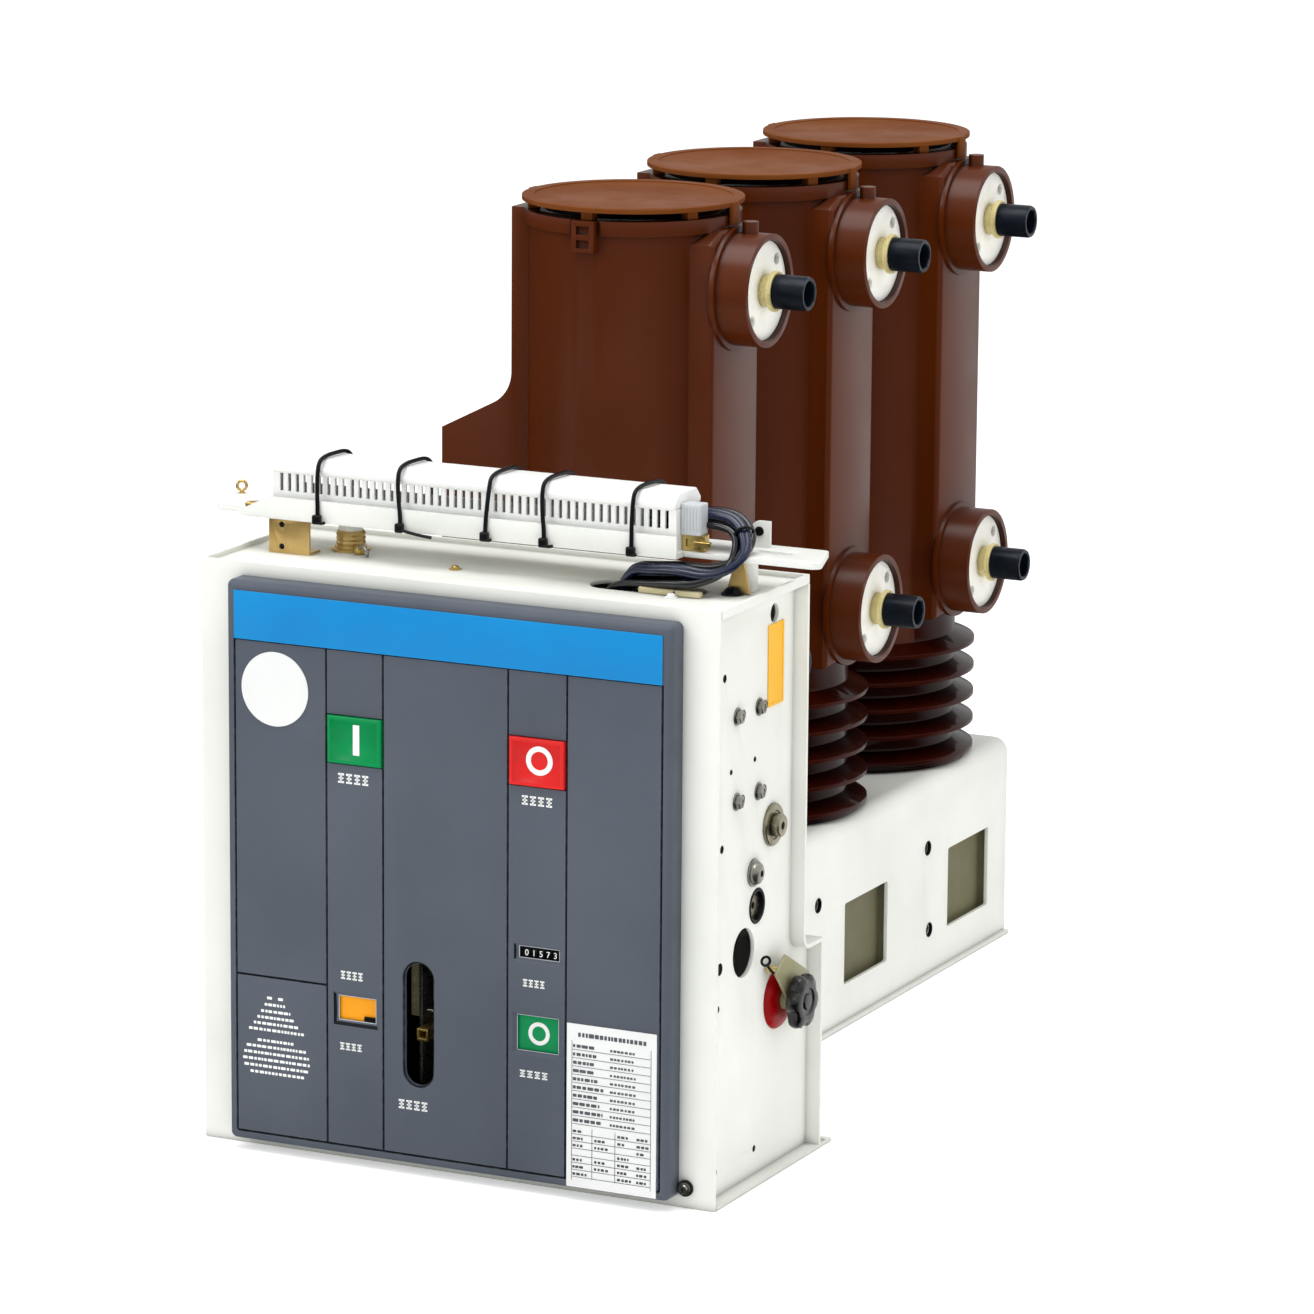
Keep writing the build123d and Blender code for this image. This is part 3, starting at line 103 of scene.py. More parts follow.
class Effects:
    """Node groups that several finishes share, each built once."""

    _made: dict[str, bpy.types.NodeTree] = {}

    @classmethod
    def _group(cls, name: str, inputs: dict[str, float], output: str) -> bpy.types.NodeTree:
        """Starts a node group with number inputs and one number output.

        Args:
            name: the group's name.
            inputs: each input's name and default.
            output: the output's name.

        Returns:
            The new tree, with its end nodes named in and out.
        """
        tree = bpy.data.node_groups.new(name, "ShaderNodeTree")
        for label, value in inputs.items():
            socket = tree.interface.new_socket(label, in_out="INPUT", socket_type="NodeSocketFloat")
            socket.default_value = value
        tree.interface.new_socket(output, in_out="OUTPUT", socket_type="NodeSocketFloat")
        tree.nodes.new("NodeGroupInput").name = "in"
        tree.nodes.new("NodeGroupOutput").name = "out"
        cls._made[name] = tree
        return tree

    @classmethod
    def _noise(cls, tree: bpy.types.NodeTree, scale: object, detail: float) -> bpy.types.Node:
        """Adds a noise texture on the object's own coordinates.

        Args:
            tree: the tree that it goes into.
            scale: the socket that gives its scale.
            detail: how many octaves it has.

        Returns:
            The noise node.
        """
        place = tree.nodes.new("ShaderNodeTexCoord")
        noise = tree.nodes.new("ShaderNodeTexNoise")
        noise.inputs["Detail"].default_value = detail
        tree.links.new(place.outputs["Object"], noise.inputs["Vector"])
        tree.links.new(scale, noise.inputs["Scale"])
        return noise

    @classmethod
    def _math(cls, tree: bpy.types.NodeTree, operation: str, first: object, second: object) -> object:
        """Adds a maths node.

        Args:
            tree: the tree that it goes into.
            operation: what it does.
            first: the socket of its first number.
            second: the socket of its second number, or that number.

        Returns:
            The socket of its result.
        """
        node = tree.nodes.new("ShaderNodeMath")
        node.operation = operation
        tree.links.new(first, node.inputs[0])
        if isinstance(second, float):
            node.inputs[1].default_value = second
        else:
            tree.links.new(second, node.inputs[1])
        return node.outputs[0]

    @classmethod
    def _ramp(cls, tree: bpy.types.NodeTree, value: object, start: float, end: float) -> object:
        """Spreads the values between a start and an end over 0 to 1.

        Args:
            tree: the tree that it goes into.
            value: the socket of the value.
            start: the value that becomes 0.
            end: the value that becomes 1.

        Returns:
            The socket of its result.
        """
        ramp = tree.nodes.new("ShaderNodeMapRange")
        ramp.inputs["From Min"].default_value = start
        ramp.inputs["From Max"].default_value = end
        tree.links.new(value, ramp.inputs["Value"])
        return ramp.outputs[0]

    @classmethod
    def grain(cls) -> bpy.types.NodeTree:
        """Fine relief of powder coat, moulded skin or cast surface, as a height."""
        if "surface_grain" in cls._made:
            return cls._made["surface_grain"]
        tree = cls._group("surface_grain", {"Scale": 900.0, "Waves": 60.0}, "Height")
        fine = cls._noise(tree, tree.nodes["in"].outputs["Scale"], 3.0)
        slow = cls._noise(tree, tree.nodes["in"].outputs["Waves"], 1.0)
        both = cls._math(tree, "ADD", fine.outputs["Fac"], slow.outputs["Fac"])
        tree.links.new(both, tree.nodes["out"].inputs["Height"])
        return tree

    @classmethod
    def patches(cls) -> bpy.types.NodeTree:
        """Slow uneven patches, as a mask from 0 to 1."""
        if "uneven_patches" in cls._made:
            return cls._made["uneven_patches"]
        tree = cls._group("uneven_patches", {"Scale": 12.0, "Low": 0.35, "High": 0.7}, "Mask")
        noise = cls._noise(tree, tree.nodes["in"].outputs["Scale"], 5.0)
        ramp = tree.nodes.new("ShaderNodeMapRange")
        tree.links.new(noise.outputs["Fac"], ramp.inputs["Value"])
        tree.links.new(tree.nodes["in"].outputs["Low"], ramp.inputs["From Min"])
        tree.links.new(tree.nodes["in"].outputs["High"], ramp.inputs["From Max"])
        tree.links.new(ramp.outputs[0], tree.nodes["out"].inputs["Mask"])
        return tree

    @classmethod
    def edge_wear(cls) -> bpy.types.NodeTree:
        """Worn edges, as a mask: where the surface turns within a small radius, broken up by noise."""
        if "edge_wear" in cls._made:
            return cls._made["edge_wear"]
        tree = cls._group("edge_wear", {"Radius": 0.0012, "Scale": 160.0, "Amount": 1.0}, "Mask")
        start, links = tree.nodes["in"], tree.links
        round_off = tree.nodes.new("ShaderNodeBevel")
        round_off.samples = SHADER_SAMPLES
        links.new(start.outputs["Radius"], round_off.inputs["Radius"])
        here = tree.nodes.new("ShaderNodeNewGeometry")
        dot = tree.nodes.new("ShaderNodeVectorMath")
        dot.operation = "DOT_PRODUCT"
        links.new(round_off.outputs["Normal"], dot.inputs[0])
        links.new(here.outputs["Normal"], dot.inputs[1])
        sharp = cls._ramp(tree, dot.outputs["Value"], 0.995, 0.90)
        noise = cls._noise(tree, start.outputs["Scale"], 4.0)
        broken = cls._ramp(tree, noise.outputs["Fac"], 0.42, 0.62)
        worn = cls._math(tree, "MULTIPLY", sharp, broken)
        scaled = cls._math(tree, "MULTIPLY", worn, start.outputs["Amount"])
        links.new(scaled, tree.nodes["out"].inputs["Mask"])
        return tree

    @classmethod
    def dust(cls) -> bpy.types.NodeTree:
        """Dust on faces that look up, as a mask broken up by noise."""
        if "settled_dust" in cls._made:
            return cls._made["settled_dust"]
        tree = cls._group("settled_dust", {"Amount": 0.3, "Scale": 45.0}, "Mask")
        start, links = tree.nodes["in"], tree.links
        here = tree.nodes.new("ShaderNodeNewGeometry")
        axes = tree.nodes.new("ShaderNodeSeparateXYZ")
        links.new(here.outputs["Normal"], axes.inputs[0])
        upward = cls._ramp(tree, axes.outputs["Z"], 0.55, 1.0)
        noise = cls._noise(tree, start.outputs["Scale"], 6.0)
        settled = cls._math(tree, "MULTIPLY", upward, noise.outputs["Fac"])
        scaled = cls._math(tree, "MULTIPLY", settled, start.outputs["Amount"])
        links.new(scaled, tree.nodes["out"].inputs["Mask"])
        return tree

    @classmethod
    def crevice_shade(cls) -> bpy.types.NodeTree:
        """Painted shade: corners and gaps where little light comes, darkened through ambient occlusion, as a
        mask.
        """
        if "crevice_shade" in cls._made:
            return cls._made["crevice_shade"]
        tree = cls._group("crevice_shade", {"Reach": 0.01, "Amount": 0.5}, "Mask")
        start, links = tree.nodes["in"], tree.links
        shut = tree.nodes.new("ShaderNodeAmbientOcclusion")
        shut.samples = SHADER_SAMPLES
        links.new(start.outputs["Reach"], shut.inputs["Distance"])
        # Darker where the occlusion is deeper: painted shade.
        closed = cls._ramp(tree, shut.outputs["AO"], 0.85, 0.25)
        scaled = cls._math(tree, "MULTIPLY", closed, start.outputs["Amount"])
        links.new(scaled, tree.nodes["out"].inputs["Mask"])
        return tree

    @classmethod
    def grooves(cls) -> bpy.types.NodeTree:
        """Painted shade: the floors of the panel's shallow grooves, as a mask by their depth behind its face.
        """
        if "painted_groove_shade" in cls._made:
            return cls._made["painted_groove_shade"]
        tree = cls._group("painted_groove_shade", {"Face": 0.0, "Near": 0.0006, "Far": 0.0018}, "Mask")
        start, links = tree.nodes["in"], tree.links
        place = tree.nodes.new("ShaderNodeTexCoord")
        axes = tree.nodes.new("ShaderNodeSeparateXYZ")
        links.new(place.outputs["Object"], axes.inputs[0])
        depth = cls._math(tree, "SUBTRACT", axes.outputs["Y"], start.outputs["Face"])
        past = cls._math(tree, "GREATER_THAN", depth, start.outputs["Near"])
        short = cls._math(tree, "LESS_THAN", depth, start.outputs["Far"])
        here = tree.nodes.new("ShaderNodeNewGeometry")
        facing = tree.nodes.new("ShaderNodeSeparateXYZ")
        links.new(here.outputs["Normal"], facing.inputs[0])
        front = cls._math(tree, "LESS_THAN", facing.outputs["Y"], -0.9)
        floor = cls._math(tree, "MULTIPLY", past, short)
        seen = cls._math(tree, "MULTIPLY", floor, front)
        links.new(seen, tree.nodes["out"].inputs["Mask"])
        return tree


@dataclass(frozen=True)
class Finish:
    """One finish, as its colours, gloss and relief, which makes its material once."""

    name: str
    slot: str
    colour: tuple[float, float, float]
    shade: tuple[float, float, float]
    roughness: tuple[float, float] = (0.35, 0.5)
    metallic: float = 0.0
    coat: float = 0.0
    coat_roughness: float = 0.08
    specular: float = 0.2
    patch_scale: float = 9.0
    grain_scale: float = 900.0
    waves: float = 60.0
    relief: float = 0.1
    relief_height: float = 0.0002
    wear: float = 0.0
    wear_colour: tuple[float, float, float] = (200, 200, 195)
    dust: float = 0.0
    dust_colour: tuple[float, float, float] = (205, 200, 190)
    # Painted shade: how strongly, how far and in what dark colour corners and gaps are darkened.
    painted_shade: float = 0.0
    painted_shade_reach: float = 0.008
    painted_shade_colour: tuple[float, float, float] = (70, 68, 62)
    # Painted shade: groove floors behind groove_face are darkened towards the groove colour.
    groove_face: float | None = None
    groove_shade_colour: tuple[float, float, float] = (25, 28, 34)

    def _mixed(self, tree: bpy.types.NodeTree, below: object, above: tuple, mask: object) -> object:
        """Lays a colour over another through a mask.

        Args:
            tree: the material's tree.
            below: the socket of the colour underneath.
            above: the display colour laid over it.
            mask: the socket of the mask.

        Returns:
            The socket of the mixed colour.
        """
        mix = tree.nodes.new("ShaderNodeMix")
        mix.data_type = "RGBA"
        tree.links.new(mask, mix.inputs["Factor"])
        tree.links.new(below, mix.inputs["A"])
        mix.inputs["B"].default_value = tint(*above)
        return mix.outputs["Result"]

    def _effect(self, tree: bpy.types.NodeTree, group: bpy.types.NodeTree, **values: float) -> object:
        """Places a shared effect with this finish's own values.

        Args:
            tree: the material's tree.
            group: the shared effect.
            **values: its inputs.

        Returns:
            The effect's output socket.
        """
        node = tree.nodes.new("ShaderNodeGroup")
        node.node_tree = group
        for label, value in values.items():
            node.inputs[label].default_value = value
        return node.outputs[0]

    def material(self) -> bpy.types.Material:
        """Builds the material, or gives the one built before."""
        name = f"{self.name}_finish"
        known = bpy.data.materials.get(name)
        if known:
            return known
        material = bpy.data.materials.new(name)
        material.use_nodes = True
        tree = material.node_tree
        shader = tree.nodes["Principled BSDF"]
        tree.links.new(self._colour(tree), shader.inputs["Base Color"])
        tree.links.new(self._gloss(tree), shader.inputs["Roughness"])
        tree.links.new(self._relief(tree), shader.inputs["Normal"])
        shader.inputs["Metallic"].default_value = self.metallic
        shader.inputs["Specular IOR Level"].default_value = self.specular
        shader.inputs["Coat Weight"].default_value = self.coat
        shader.inputs["Coat Roughness"].default_value = self.coat_roughness
        return material

    def _colour(self, tree: bpy.types.NodeTree) -> object:
        """Makes the colour: patches of two shades, under painted shade in the grooves, dust, painted shade in
        corners and wear.
        """
        patches = self._effect(tree, Effects.patches(), Scale=self.patch_scale)
        mix = tree.nodes.new("ShaderNodeMix")
        mix.data_type = "RGBA"
        mix.inputs["A"].default_value = tint(*self.colour)
        mix.inputs["B"].default_value = tint(*self.shade)
        tree.links.new(patches, mix.inputs["Factor"])
        colour = mix.outputs["Result"]
        # Painted shade on the floors of the panel's grooves.
        if self.groove_face is not None:
            mask = self._effect(tree, Effects.grooves(), Face=self.groove_face)
            colour = self._mixed(tree, colour, self.groove_shade_colour, mask)
        if self.dust:
            mask = self._effect(tree, Effects.dust(), Amount=self.dust)
            colour = self._mixed(tree, colour, self.dust_colour, mask)
        # Painted shade in corners and gaps, from ambient occlusion.
        if self.painted_shade:
            mask = self._effect(tree, Effects.crevice_shade(), Reach=self.painted_shade_reach, Amount=self.painted_shade)
            colour = self._mixed(tree, colour, self.painted_shade_colour, mask)
        if self.wear:
            mask = self._effect(tree, Effects.edge_wear(), Amount=self.wear)
            colour = self._mixed(tree, colour, self.wear_colour, mask)
        return colour

    def _gloss(self, tree: bpy.types.NodeTree) -> object:
        """Makes the roughness, which changes in finer patches than the colour."""
        gloss = tree.nodes.new("ShaderNodeMapRange")
        gloss.inputs["To Min"].default_value, gloss.inputs["To Max"].default_value = self.roughness
        spots = self._effect(tree, Effects.patches(), Scale=self.patch_scale * GLOSS_FINER)
        tree.links.new(spots, gloss.inputs["Value"])
        return gloss.outputs[0]

    def _relief(self, tree: bpy.types.NodeTree) -> object:
        """Makes the normal from the grain's height."""
        height = self._effect(tree, Effects.grain(), Scale=self.grain_scale, Waves=self.waves)
        bump = tree.nodes.new("ShaderNodeBump")
        bump.inputs["Strength"].default_value = self.relief
        bump.inputs["Distance"].default_value = self.relief_height
        tree.links.new(height, bump.inputs["Height"])
        return bump.outputs["Normal"]


class Coat(Enum):
    """The breaker's finishes."""

    # The white sheets get painted shade in their corners.
    POWDER_WHITE = Finish("powder_white", "sheet_white", (236, 237, 231), (226, 228, 221), (0.38, 0.5),
                          relief=0.12, wear=0.35, wear_colour=(176, 178, 172), dust=0.12, painted_shade=0.6)
    BAR_PAINT = Finish("bar_paint", "bar_white", (238, 239, 235), (224, 226, 221), (0.36, 0.5),
                       relief=0.12, wear=0.5, wear_colour=(150, 148, 140), dust=0.1)
    SCREEN_OLIVE = Finish("screen_olive", "screen_olive", (122, 118, 88), (104, 102, 80), (0.5, 0.65),
                          relief=0.15)
    # Its groove floors get a painted shade.
    PANEL_GREY = Finish("panel_grey", "panel_grey", (88, 94, 104), (80, 86, 96), (0.42, 0.55),
                        grain_scale=1500, relief=0.22, wear=0.25, wear_colour=(140, 146, 155),
                        groove_face=(BOX_FRONT + COVER_Y) / 1000)
    STRIP_BLUE = Finish("strip_blue", "strip_blue", (24, 138, 205), (20, 128, 196), (0.28, 0.38),
                        relief=0.05, wear=0.2, wear_colour=(120, 190, 225))
    PLATE_WHITE = Finish("plate_white", "label_white", (234, 235, 234), (225, 227, 226), (0.35, 0.45),
                         relief=0.06)
    PRINT_WHITE = Finish("print_white", "label_white", (240, 242, 240), (226, 228, 226), (0.4, 0.5),
                         relief=0.05)
    PRINT_DARK = Finish("print_dark", "counter_black", (70, 72, 80), (96, 98, 104), (0.45, 0.55),
                        relief=0.05)
    LABEL_YELLOW = Finish("label_yellow", "label_yellow", (250, 190, 50), (240, 176, 40), (0.35, 0.45),
                          relief=0.06, wear=0.3, wear_colour=(250, 225, 150))
    BUTTON_GREEN = Finish("button_green", "button_green", (8, 140, 78), (6, 128, 70), (0.28, 0.38),
                          relief=0.08, wear=0.2, wear_colour=(90, 190, 140))
    BUTTON_RED = Finish("button_red", "button_red", (222, 44, 42), (208, 38, 38), (0.28, 0.38),
                        relief=0.08, wear=0.2, wear_colour=(240, 130, 120))
    FLAG_ORANGE = Finish("flag_orange", "indicator_orange", (250, 165, 30), (240, 150, 24), (0.4, 0.5),
                         relief=0.06)
    FLAG_GREEN = Finish("flag_green", "indicator_green", (8, 148, 88), (6, 136, 80), (0.4, 0.5),
                        relief=0.06)
    DRUM_BLACK = Finish("drum_black", "counter_black", (16, 16, 18), (26, 26, 28), (0.4, 0.5),
                        relief=0.08)
    DUCT_WHITE = Finish("duct_white", "duct_white", (240, 241, 239), (229, 231, 229), (0.34, 0.46),
                        relief=0.08, dust=0.1, wear=0.2, wear_colour=(205, 206, 204))
    TIE_BLACK = Finish("tie_black", "black_plastic", (14, 14, 17), (30, 30, 34), (0.3, 0.45), relief=0.2,
                       grain_scale=500)
    WIRE_DARK = Finish("wire_dark", "black_plastic", (13, 15, 23), (8, 9, 14), (0.2, 0.3), specular=0.6,
                       relief=0.15, grain_scale=420, patch_scale=30)
    WIRE_BLUE = Finish("wire_blue", "black_plastic", (26, 38, 68), (16, 24, 44), (0.2, 0.3), specular=0.6,
                       relief=0.15, grain_scale=420, patch_scale=30)
    PLUG_GREY = Finish("plug_grey", "grey_plastic", (196, 200, 204), (176, 181, 188), (0.4, 0.52),
                       relief=0.12)
    KNOB_BLACK = Finish("knob_black", "black_plastic", (4, 5, 7), (8, 10, 13), (0.2, 0.34), coat=0.3,
                        relief=0.15, grain_scale=500, specular=0.5, wear=0.2, wear_colour=(90, 98, 108))
    RED_PLASTIC = Finish("red_plastic", "red_plastic", (150, 0, 16), (120, 0, 10), (0.25, 0.38),
                         relief=0.1)
    KHAKI_PLATE = Finish("khaki_plate", "zinc_yellow", (160, 156, 122), (140, 136, 104), (0.38, 0.52),
                         metallic=0.35, relief=0.2, wear=0.7, wear_colour=(226, 220, 192))
    ZINC_YELLOW = Finish("zinc_yellow", "zinc_yellow", (214, 184, 122), (190, 156, 96), (0.3, 0.46),
                         metallic=0.75, patch_scale=40, relief=0.2, wear=0.4, wear_colour=(238, 222, 180))
    BRASS = Finish("brass", "brass", (214, 190, 120), (190, 160, 92), (0.24, 0.4), metallic=0.95,
                   patch_scale=50, relief=0.15, wear=0.3, wear_colour=(245, 232, 190))
    # Painted shade darkens the ring's hollows, such as the neck under its flange.
    PALE_BRASS = Finish("pale_brass", "brass", (232, 218, 158), (206, 190, 128), (0.26, 0.4),
                        metallic=0.3, patch_scale=70, relief=0.15, painted_shade=0.9, painted_shade_reach=0.006,
                        painted_shade_colour=(30, 26, 14))
    # Painted shade darkens the zinc's hollows.
    ZINC = Finish("bright_zinc", "zinc", (176, 174, 166), (138, 136, 128), (0.24, 0.4), metallic=0.95,
                  patch_scale=70, relief=0.2, painted_shade=0.8, painted_shade_reach=0.005, painted_shade_colour=(40, 38, 34))
    # Painted shade darkens the shaft ends' hollows.
    SHAFT_STEEL = Finish("shaft_steel", "zinc", (172, 166, 144), (132, 126, 104), (0.22, 0.4),
                         metallic=0.9, patch_scale=80, relief=0.2, painted_shade=0.8, painted_shade_reach=0.005,
                         painted_shade_colour=(40, 36, 28))
    # The tubes take a deep painted shade in corners and under the sheds.
    EPOXY_BROWN = Finish("epoxy_brown", "epoxy_brown", (87, 39, 5), (79, 34, 3), (0.34, 0.42), coat=0.4,
                         coat_roughness=0.3, specular=0.05, painted_shade=0.95, painted_shade_reach=0.045,
                         painted_shade_colour=(22, 6, 2), patch_scale=5, grain_scale=420, waves=9, relief=0.05,
                         relief_height=0.0001, dust=0.02, dust_colour=(120, 80, 64))
    # Painted shade: the sheds' epoxy is the tubes' own, darkened for the shade that the sheds lie in.
    SHED_BROWN = Finish("shed_painted_shade", "epoxy_brown", (58, 20, 8), (48, 15, 6), (0.3, 0.42), coat=0.3,
                        specular=0.03, painted_shade=0.95, painted_shade_reach=0.03, painted_shade_colour=(14, 4, 2),
                        patch_scale=5, grain_scale=420, waves=9, relief=0.05, relief_height=0.0001)
    CAP_BROWN = Finish("cap_brown", "epoxy_brown", (114, 66, 32), (100, 54, 26), (0.45, 0.58),
                       specular=0.03, patch_scale=8, grain_scale=320, waves=40, relief=0.16, dust=0.06,
                       dust_colour=(150, 108, 84))
    DISC_METAL = Finish("disc_metal", "disc_metal", (254, 253, 246), (242, 241, 233), (0.3, 0.44),
                        metallic=0.02, patch_scale=60, grain_scale=700, relief=0.15)
    STUB_DARK = Finish("stub_dark", "stub_dark", (24, 31, 40), (17, 22, 30), (0.28, 0.42), metallic=0.2,
                       patch_scale=60, relief=0.12, wear=0.5, wear_colour=(120, 130, 140))
    BUFF_PAD = Finish("buff_pad", "grey_plastic", (206, 196, 160), (182, 170, 132), (0.55, 0.7),
                      relief=0.4, grain_scale=380)
    # Near-black painted shade, set behind openings and inside holes where only shade is.
    DARK_INSIDE = Finish("painted_inside_shade", "black_plastic", (8, 8, 9), (16, 16, 17), (0.6, 0.8), relief=0.2)


# Modelling steps

def deselect() -> None:
    """Leaves object mode on and nothing selected."""
    if bpy.context.object and bpy.context.object.mode != "OBJECT":
        bpy.ops.object.mode_set(mode="OBJECT")
    bpy.ops.object.select_all(action="DESELECT")


def settle(piece: bpy.types.Object) -> bpy.types.Object:
    """Puts a piece's place, turn and size into its mesh, and its object at the origin."""
    deselect()
    piece.select_set(True)
    bpy.context.view_layer.objects.active = piece
    bpy.ops.object.transform_apply(location=True, rotation=True, scale=True)
    return piece


class Bench:
    """A piece opened in edit mode for a few steps."""

    def __init__(self, piece: bpy.types.Object, kind: str = "FACE") -> None:
        """Keeps the piece and what is to be selected on it, FACE, EDGE or VERT."""
        self.piece, self.kind = piece, kind

    def __enter__(self) -> "Bench":
        """Opens the piece with nothing selected."""
        deselect()
        self.piece.select_set(True)
        bpy.context.view_layer.objects.active = self.piece
        bpy.ops.object.mode_set(mode="EDIT")
        bpy.ops.mesh.select_mode(type=self.kind)
        bpy.ops.mesh.select_all(action="DESELECT")
        return self

    def __exit__(self, *_: object) -> None:
        """Closes the piece."""
        bpy.ops.object.mode_set(mode="OBJECT")

    def faces(self, test: Callable[[bmesh.types.BMFace], bool]) -> None:
        """Selects the faces that pass a test.

        Args:
            test: takes a face and says whether it is wanted.
        """
        mesh = bmesh.from_edit_mesh(self.piece.data)
        mesh.normal_update()
        chosen = [face for face in mesh.faces if test(face)]
        for face in mesh.faces:
            face.select_set(False)
        for face in chosen:
            face.select_set(True)
        bmesh.update_edit_mesh(self.piece.data)

    def edges(self, test: Callable[[bmesh.types.BMEdge], bool]) -> None:
        """Selects the edges that pass a test.

        Args:
            test: takes an edge and says whether it is wanted.
        """
        mesh = bmesh.from_edit_mesh(self.piece.data)
        chosen = [edge for edge in mesh.edges if test(edge)]
        for edge in mesh.edges:
            edge.select_set(False)
        for edge in chosen:
            edge.select_set(True)
        bmesh.update_edit_mesh(self.piece.data)


def smooth(piece: bpy.types.Object, angle: float = 32.0) -> bpy.types.Object:
    """Shades a piece smooth except over edges sharper than the angle, in degrees."""
    deselect()
    piece.select_set(True)
    bpy.context.view_layer.objects.active = piece
    bpy.ops.object.shade_smooth_by_angle(angle=math.radians(angle))
    return piece


def slab(name: str, low: Vector, high: Vector, bevel: float = 0.3, segments: int = 2) -> bpy.types.Object:
    """Makes a block between two corners with its edges rounded.

    Args:
        name: the piece's name.
        low: its lowest corner, in metres.
        high: its highest corner, in metres.
        bevel: width of the rounding in millimetres.
        segments: steps in the rounding.

    Returns:
        The new piece.
    """
    deselect()
    bpy.ops.mesh.primitive_cube_add(size=1, location=(low + high) / 2)
    piece = bpy.context.object
    piece.name = name
    piece.scale = high - low
    settle(piece)
    with Bench(piece, "EDGE") as bench:
        bench.edges(lambda edge: True)
        bpy.ops.mesh.bevel(offset=bevel / 1000, segments=segments, affect="EDGES")
    return piece


def turned(name: str, centre: Vector, axis: Vector, outline: list[tuple[float, float]],
           sides: int = 32) -> bpy.types.Object:
    """Makes a turned piece by drawing a round blank out step by step along its axis.

    Args:
        name: the piece's name.
        centre: the axis's start, in metres.
        axis: the direction of the axis.
        outline: radius and height of each step, in millimetres.
        sides: how many sides the round has.

    Returns:
        The new piece.
    """
    deselect()
    (r0, h0), (r1, h1) = outline[:2]
    bpy.ops.mesh.primitive_cone_add(vertices=sides, radius1=r0, radius2=r1, depth=h1 - h0,
                                    location=(0, 0, (h0 + h1) / 2))
    piece = bpy.context.object
    piece.name = name
    settle(piece)
    with Bench(piece) as bench:
        bench.faces(lambda face: face.normal.z > 0.9 and len(face.verts) == sides)
        for (ra, ha), (rb, hb) in zip(outline[1:], outline[2:]):
            bpy.ops.mesh.extrude_region_move(TRANSFORM_OT_translate={"value": (0, 0, hb - ha)})
            bpy.ops.transform.resize(value=(rb / ra,) * 3, center_override=(0, 0, hb))
    piece.scale = (0.001,) * 3
    piece.rotation_mode = "QUATERNION"
    piece.rotation_quaternion = Z_AXIS.rotation_difference(axis)
    piece.location = centre
    return smooth(settle(piece))


def hoop(name: str, centre: Vector, axis: Vector, radius: float, thick: float) -> bpy.types.Object:
    """Makes a round wire ring.

    Args:
        name: the piece's name.
        centre: its middle, in metres.
        axis: the direction that it faces.
        radius: radius of its middle line in millimetres.
        thick: radius of its wire in millimetres.

    Returns:
        The new piece.
    """
    deselect()
    bpy.ops.mesh.primitive_torus_add(major_radius=radius / 1000, minor_radius=thick / 1000,
                                     major_segments=32, minor_segments=10)
    piece = bpy.context.object
    piece.name = name
    piece.rotation_mode = "QUATERNION"
    piece.rotation_quaternion = Z_AXIS.rotation_difference(axis)
    piece.location = centre
    return smooth(settle(piece), 60)


def sunk(piece: bpy.types.Object, facing: Vector, inset: float, depth: float) -> bpy.types.Object:
    """Presses a pocket into a piece's largest face on one side.

    Args:
        piece: the piece.
        facing: the direction that the face looks in.
        inset: width of the rim left round the pocket, in millimetres.
        depth: the pocket's depth in millimetres.

    Returns:
        The same piece.
    """
    with Bench(piece) as bench:
        mesh = bmesh.from_edit_mesh(piece.data)
        mesh.normal_update()
        largest = max(face.calc_area() for face in mesh.faces if face.normal.dot(facing) > 0.95)
        bench.faces(lambda face: face.normal.dot(facing) > 0.95 and face.calc_area() > 0.99 * largest)
        bpy.ops.mesh.inset(thickness=inset / 1000)
        bpy.ops.mesh.extrude_region_move(TRANSFORM_OT_translate={"value": -facing * depth / 1000})
    return piece


def twin(piece: bpy.types.Object, name: str, move: Vector, size: Vector | None = None) -> bpy.types.Object:
    """Copies a piece with its own mesh, moved in metres and resized about the origin before that."""
    copy = piece.copy()
    copy.data = piece.data.copy()
    copy.name = name
    bpy.context.scene.collection.objects.link(copy)
    if size is not None:
        copy.data.transform(Matrix.Diagonal((*size, 1.0)))
    copy.data.transform(Matrix.Translation(move))
    return copy


def joined(pieces: list[bpy.types.Object], name: str) -> bpy.types.Object:
    """Joins pieces into one object.

    Args:
        pieces: the pieces, of which the first stays.
        name: the joined piece's name.

    Returns:
        The joined piece.
    """
    deselect()
    for piece in pieces:
        piece.select_set(True)
    bpy.context.view_layer.objects.active = pieces[0]
    if len(pieces) > 1:
        bpy.ops.object.join()
    pieces[0].name = name
    return pieces[0]


def fitted(piece: bpy.types.Object, coat: Coat, body: str = BODY) -> bpy.types.Object:
    """Gives a piece its finish and lets it ride on a body."""
    piece.data.materials.clear()
    piece.data.materials.append(coat.value.material())
    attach(piece, body)
    LOG.info("piece %s, finish %s", piece.name, coat.value.name)
    return piece


